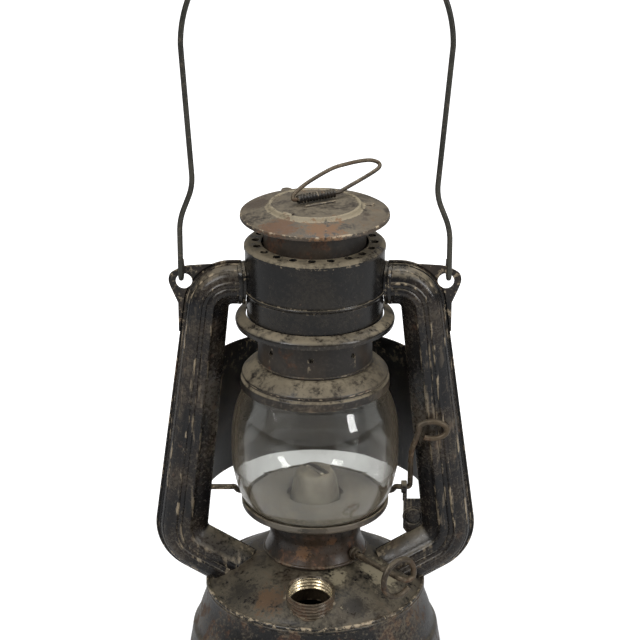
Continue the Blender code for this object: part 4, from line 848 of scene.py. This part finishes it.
# The spring that holds the chimney down: five turns of steel wire between the lid and the
# chimney's shoulder, hidden in the hood. On the lantern it shortens as the globe lifts; here it
# keeps one shape.
grey_steel = old_paint(
    "grey_steel",
    (0.034, 0.033, 0.028),
    (0.060, 0.057, 0.046),
    0.25,
    0.25,
    0.35,
    gloss=0.34,
    shift=15.9,
    metal=0.5,
    spots=[((-65, 5, 219), 5, (0.12, 0.055, 0.026))],
)
COIL_TURNS = 5
TURN_STEPS = 28
COIL_RADIUS = 27.3
COIL_FOOT = 204.9
COIL_LENGTH = 26.4
coil = []
for step in range(COIL_TURNS * TURN_STEPS + 1):
    angle = math.tau * step / TURN_STEPS
    height = COIL_FOOT + COIL_LENGTH * step / (COIL_TURNS * TURN_STEPS)
    coil.append((COIL_RADIUS * math.cos(angle), COIL_RADIUS * math.sin(angle), height))
spring = piece("coil_spring", wire(coil, 0.8, 2), grey_steel, "frame", ["hold_down_spring"])
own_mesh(spring)


# The side tubes: each is pressed from a front and a rear half, seamed together along both edges.
# The front has a bead, ribs and a groove down its face. Dust lies on the bends, and the cream
# streaks on the ribs are partly chips and partly painted highlights.
def tube_stations():
    """The tube's middle line in mm: point and outward normal in the XZ plane, and half width."""
    top = Vector((36.0, HOOD_PORT_HEIGHT))
    corner = Vector((51.0, HOOD_PORT_HEIGHT))
    elbow = Vector((67.5, 73.8))
    slope = math.radians(31)
    foot = elbow - Vector((math.cos(slope), math.sin(slope))) * 35.5
    stations = [(top, Vector((0, 1)), 9.7)]
    for point, before, after, radius, steps, width in (
        (corner, top, elbow, 12.0, 18, 9.7),
        (elbow, corner, foot, 14.0, 16, 11.5),
    ):
        back = (before - point).normalized()
        forth = (after - point).normalized()
        half = math.acos(back.dot(forth)) / 2
        centre = point + (back + forth).normalized() * radius / math.sin(half)
        first = (point + back * radius / math.tan(half) - centre).normalized()
        last = (point + forth * radius / math.tan(half) - centre).normalized()
        start = stations[-1][0]
        end = centre + first * radius
        for step in range(1, 14):
            share = step / 14
            wide = 9.7 if width == 9.7 else 9.7 + 1.8 * share
            stations.append((start.lerp(end, share), first, wide))
        sweep = math.acos(max(-1, min(1, first.dot(last))))
        for step in range(steps + 1):
            share = step / steps
            out = (first * math.sin(sweep * (1 - share)) + last * math.sin(sweep * share)) / math.sin(sweep)
            stations.append((centre + out * radius, out, width))
    stations.append((stations[-1][0].lerp(foot, 0.5), last, 11.5))
    stations.append((foot, last, 11.5))
    return stations


def pressing(section, side, face):
    """Extrudes a closed section of (out, deep) points in mm along the tube."""
    shape = bmesh.new()
    spots = [shape.verts.new((out, deep, 0)) for out, deep in section]
    edges = [shape.edges.new(pair) for pair in zip(spots, spots[1:] + spots[:1])]
    shape.faces.new(spots)
    before = Matrix.Identity(4)
    for index, (point, normal, width) in enumerate(tube_stations()):
        out = Vector((side * normal.x, 0, normal.y))
        ahead = Vector((side * normal.y, 0, -normal.x))
        here = Matrix.Translation((side * point.x, 0, point.y)) @ Matrix(
            (
                (out.x * width / 11.5, 0, ahead.x, 0),
                (0, face, 0, 0),
                (out.z * width / 11.5, 0, ahead.z, 0),
                (0, 0, 0, 1),
            )
        )
        if index:
            made = bmesh.ops.extrude_edge_only(shape, edges=edges)["geom"]
            spots = [item for item in made if isinstance(item, bmesh.types.BMVert)]
            edges = [
                item
                for item in made
                if isinstance(item, bmesh.types.BMEdge) and all(vert in spots for vert in item.verts)
            ]
        bmesh.ops.transform(shape, matrix=here @ before.inverted(), verts=spots)
        before = here
    bmesh.ops.edgeloop_fill(shape, edges=edges)
    return shape


tube_paint = old_paint(
    "tube_paint",
    (0.0062, 0.0060, 0.0066),
    (0.022, 0.0155, 0.0115),
    0.5,
    0.7,
    0.75,
    gloss=0.24,
    shift=16.6,
    grime=0.3,
    streak=0.14,
)
rear_paint = old_paint(
    "rear_paint", (0.011, 0.0098, 0.0092), (0.032, 0.022, 0.015), 0.6, 0.4, 0.6, gloss=0.42, shift=17.3
)
front_line = [(12.1, 0.2), (12.1, 0.85), (11.5, 0.95), (11.15, 2.2), (10.75, 3.9), (10.6, 4.6), (10.25, 5.0)]
front_line += [
    (9.95, 4.9), (9.7, 5.3), (8.7, 6.6), (7.2, 7.45), (5.4, 7.8), (4.7, 7.85), (4.4, 8.2), (4.0, 8.35)
]
front_line += [
    (3.6, 8.2), (3.3, 7.85), (2.2, 7.8), (1.3, 7.6), (0.8, 7.05), (0.3, 7.5), (-0.4, 7.95), (-1.6, 8.1)
]
front_line += [(-2.9, 7.95), (-3.5, 7.5), (-3.8, 6.9), (-5.4, 6.1), (-7.2, 4.9), (-8.9, 3.5), (-10.2, 2.2)]
front_line += [(-11.1, 1.1), (-11.5, 0.2)]
rear_line = [
    (13.5, 0.2), (13.5, 0.95), (11.7, 1.0), (11.3, 2.6), (10.4, 5.0), (8.4, 7.1), (4.6, 8.0), (0.2, 7.9)
]
rear_line += [(-4.2, 7.3), (-7.6, 5.4), (-10.0, 3.0), (-11.5, 0.2)]
EAR_HOLE_REACH = 63.8
EAR_HOLE_HEIGHT = 212.4
EAR_HOLE_RADIUS = 4.0
for side, label in ((-1, "left"), (1, "right")):
    shape = pressing(sheet(front_line, 0.7), side, -1)
    piece(f"{label}_front_pressing", shape, tube_paint, "frame", [f"{label}_tube_front"])
    rear = pressing(sheet([*rear_line[:3], *eased(rear_line[3:], 3)], 0.7), side, 1)
    ear = bmesh.new()
    outline = rounded(
        [(34.2, 222.1), (50.0, 221.2), (64.0, 220.3), (70.6, 216.6), (71.6, 213.2), (70.6, 209.8),
        (66.9, 201.0)], 3.4
    )
    outline += [
        Vector((66.9, 186.0)), Vector((56.0, 186.0)), Vector((53.5, 203)), Vector((47, 209)),
        Vector((34.2, 211))
    ]
    face = ear.faces.new([ear.verts.new((side * point.x, 0.2, point.y)) for point in outline])
    raised = bmesh.ops.extrude_face_region(ear, geom=[face])["geom"]
    moved = [item for item in raised if isinstance(item, bmesh.types.BMVert)]
    bmesh.ops.translate(ear, verts=moved, vec=(0, 0.8, 0))
    hole_start = (side * EAR_HOLE_REACH, -6, EAR_HOLE_HEIGHT)
    hole_end = (side * EAR_HOLE_REACH, 6, EAR_HOLE_HEIGHT)
    ear = cut(ear, rod(EAR_HOLE_RADIUS, hole_start, hole_end))
    rear = cut(rear, rod(EAR_HOLE_RADIUS, hole_start, hole_end))
    piece(
        f"{label}_rear_pressing", joined(rear, ear), rear_paint, "frame", [f"{label}_tube_rear"],
    )

    half = [(9.9, 0.0), (9.6, 3.8), (7.6, 7.2), (4.0, 8.2), (0.0, 8.1), (-3.8, 7.5), (-7.4, 4.7), (-9.7, 0.0)]
    half = eased(half, 4)
    section = half[:-1] + [Vector((point.x, -point.y)) for point in half[:0:-1]]
    ring = bmesh.new()
    spots = [ring.verts.new((0, point.y, point.x)) for point in section]
    edges = [ring.edges.new(pair) for pair in zip(spots, spots[1:] + spots[:1])]
    inner_edges = list(edges)
    for index, (out, wider) in enumerate(
        (
            (34.3, 1.11), (35.5, 1.11), (35.7, 1.06), (36.1, 1.06), (36.3, 1.11), (37.6, 1.08),
            (37.9, 1.03), (37.9, 0.9)
        )
    ):
        if index:
            made = bmesh.ops.extrude_edge_only(ring, edges=edges)["geom"]
            spots = [item for item in made if isinstance(item, bmesh.types.BMVert)]
            edges = [
                item
                for item in made
                if isinstance(item, bmesh.types.BMEdge) and all(vert in spots for vert in item.verts)
            ]
        growth = wider / last_wider if index else wider
        for spot in spots:
            spot.co.y *= growth
            spot.co.z *= growth
            spot.co.x = side * math.sqrt(out**2 - min(spot.co.y**2, 120))
        last_wider = wider
    bmesh.ops.bridge_loops(ring, edges=inner_edges + edges)
    bmesh.ops.translate(ring, verts=ring.verts, vec=(0, 0, HOOD_PORT_HEIGHT))
    piece(f"{label}_collar_ring", ring, hood_paint, "frame", [f"{label}_tube_collar"])

# The rear shield: a curved dark sheet behind the globe, with rounded upper corners and a hemmed
# edge, held against the backs of the tubes.
reach = math.acos(7.9 / 56.4)
shield = bmesh.new()
line = [
    shield.verts.new((57.0 * math.sin(-reach), 57.0 * math.cos(reach), z)) for z in (95.3, 97, 120, 145,
    164.4)
]
edges = [shield.edges.new(pair) for pair in zip(line, line[1:])]
bmesh.ops.spin(shield, geom=line + edges, cent=(0, 0, 0), axis=(0, 0, 1), angle=-2 * reach, steps=72)
for vert in shield.verts:
    turn = abs(math.atan2(vert.co.x, vert.co.y))
    share = max(0, 1 - (reach - turn) * 57.0 / 30.0)
    drop = 12.0 * (1 - math.sqrt(max(0, 1 - share**2)))
    vert.co.z -= drop * (vert.co.z - 95.3) / 69.1
shield_paint = old_paint(
    "shield_paint", (0.0080, 0.0078, 0.0078), (0.017, 0.013, 0.010), 0.35, 0.25, 0.5, gloss=0.42, shift=18.8
)
bmesh.ops.recalc_face_normals(shield, faces=shield.faces)
bmesh.ops.solidify(shield, geom=shield.faces[:], thickness=0.6)
piece("curved_shield", shield, shield_paint, "frame", ["rear_shield"])

# The bail: one drawn steel wire, kinked above each ear and hooked through it. Grey-olive, dark at
# its edges.
BAIL_REACH = 65.0
HINGE_DEPTH = 0.55
HINGE_HEIGHT = 218.5
HOOK_RADIUS = 4.4
BAIL_DEPTH = -3.85
ARCH_MIDDLE = 1.0
ARCH_RADIUS = 63.6
ARCH_HEIGHT = 331.6
HOOK_STEPS = 24
ARCH_STEPS = 64
bail_line = []
for side, drop in ((1, 5.0), (-1, 0.0)):
    leg = []
    for step in range(HOOK_STEPS):
        angle = math.pi - math.radians(235) * (1 - step / HOOK_STEPS)
        depth = HINGE_DEPTH + math.cos(angle) * HOOK_RADIUS
        leg.append(Vector((side * BAIL_REACH, depth, HINGE_HEIGHT - math.sin(angle) * HOOK_RADIUS)))
    corners = [
        (side * BAIL_REACH, BAIL_DEPTH, HINGE_HEIGHT),
        (side * BAIL_REACH, BAIL_DEPTH, 245.5 - drop),
        (side * 58.3, BAIL_DEPTH, 262.5 - drop),
        (ARCH_MIDDLE + side * ARCH_RADIUS, BAIL_DEPTH, ARCH_HEIGHT),
    ]
    leg += rounded(corners, 6.0, 8)[:-1]
    if side > 0:
        bail_line += leg
        for step in range(ARCH_STEPS + 1):
            angle = math.pi * step / ARCH_STEPS
            x = ARCH_MIDDLE + ARCH_RADIUS * math.cos(angle)
            bail_line.append(Vector((x, BAIL_DEPTH, ARCH_HEIGHT + ARCH_RADIUS * math.sin(angle))))
    else:
        bail_line += leg[::-1]
piece("bail_wire", wire(bail_line, 1.35, 5), grey_steel, "bail", ["bail"])

# The lift wire: one steel wire from the left tube, round under the dish, through the bracket's eye
# on the right and up to a thumb curl. Rusty olive-brown.
lip = 39.3
bow_height = 90.4
right_bow = [
    (42.8, 0, 101.3), (40.7, 2.8, 99.9), (lip, lip * 0.2, 95.7), (lip * 0.94, lip * 0.34, bow_height + 2.1)
]
right_bow += [(lip * 0.84, lip * 0.44, bow_height + 0.28)]
bow = []
for step in range(37):
    angle = math.radians(36 + 108 * step / 36)
    bow.append((32.5 * math.cos(angle), 32.5 * math.sin(angle), bow_height))
lever = [
    (47.9, -0.24, 104.1), (47.76, -4.0, 116.2), (48.2, -8.4, 126.1), (50.0, -11.3, 133.1),
    (51.2, -12.0, 138.5)
]
curl = []
for step in range(31):
    angle = math.radians(150 - 9 * step)
    curl.append((57.8 + 7.5 * math.cos(angle), -12.0, 138.1 + 4.5 * math.sin(angle)))
lift_line = eased(curl[::-1] + lever[::-1] + [(47.4, 0, 101.8), (46.2, 0, 101.3)] + right_bow, 3)
lift_line += bow + eased([(-x, y, z) for x, y, z in right_bow[::-1]], 3) + [(-56.0, 0, 101.3)]
piece("lift_wire_bent", wire(lift_line, 1.4, 5), wire_rust, "lift_wire", ["lift_wire"])

# The lift wire's bracket: a gusset plate folded from the right tube's seam, with a rolled eye for
# the wire and a round pressed boss.
edge_line = [
    (point.x - normal.x * (width - 1.5), point.y - normal.y * (width - 1.5))
    for point, normal, width in tube_stations()
]
edge_line = [(x, z) for x, z in edge_line if x > 46 and 76.5 < z < 94.0]
outline = [(44.6, 94.5), (54.5, 94.5), *edge_line, (46.5, 75.5), (44.6, 78.2)]
plate = bmesh.new()
face = plate.faces.new([plate.verts.new((x, -0.6, z)) for x, z in outline])
raised = bmesh.ops.extrude_face_region(plate, geom=[face])["geom"]
bmesh.ops.translate(
    plate, verts=[item for item in raised if isinstance(item, bmesh.types.BMVert)], vec=(0, 1.2, 0)
)
bmesh.ops.bevel(
    plate, geom=plate.edges[:], offset=0.3, segments=2, affect="EDGES", profile=0.5, material=-1
)
boss = turned([(0, 0.9), *rounded([(2.8, 0.9), (3.9, 0.6), (4.3, -0.4)], 0.5), (0, -0.4)], 40)
groove = turned([(4.6, 0.0), *arc(5.0, 0.0, 0.35, 150, 0, 6), (5.3, -0.3), (4.6, -0.3)], 40)
boss = joined(boss, groove)
bmesh.ops.transform(boss, matrix=along((49.6, -0.6, 85.0), (49.6, -2, 85.0)), verts=boss.verts)
neck = box((2.2, 1.1, 6.4), (45.3, 0, 96.6))
bmesh.ops.bevel(neck, geom=neck.edges[:], offset=0.3, segments=2, affect="EDGES", profile=0.5, material=-1)
eye = turned(rounded([(1.8, 0.0), (3.2, 0.0), (3.2, 2.9), (1.8, 2.9)], 0.5) + [Vector((1.8, 0.0))], 40)
bmesh.ops.transform(eye, matrix=along((43.4, 0, 101.3), (50, 0, 101.3)), verts=eye.verts)
piece("eye_bracket", joined(plate, boss, neck, eye), tube_paint, "frame", ["lift_bracket"])
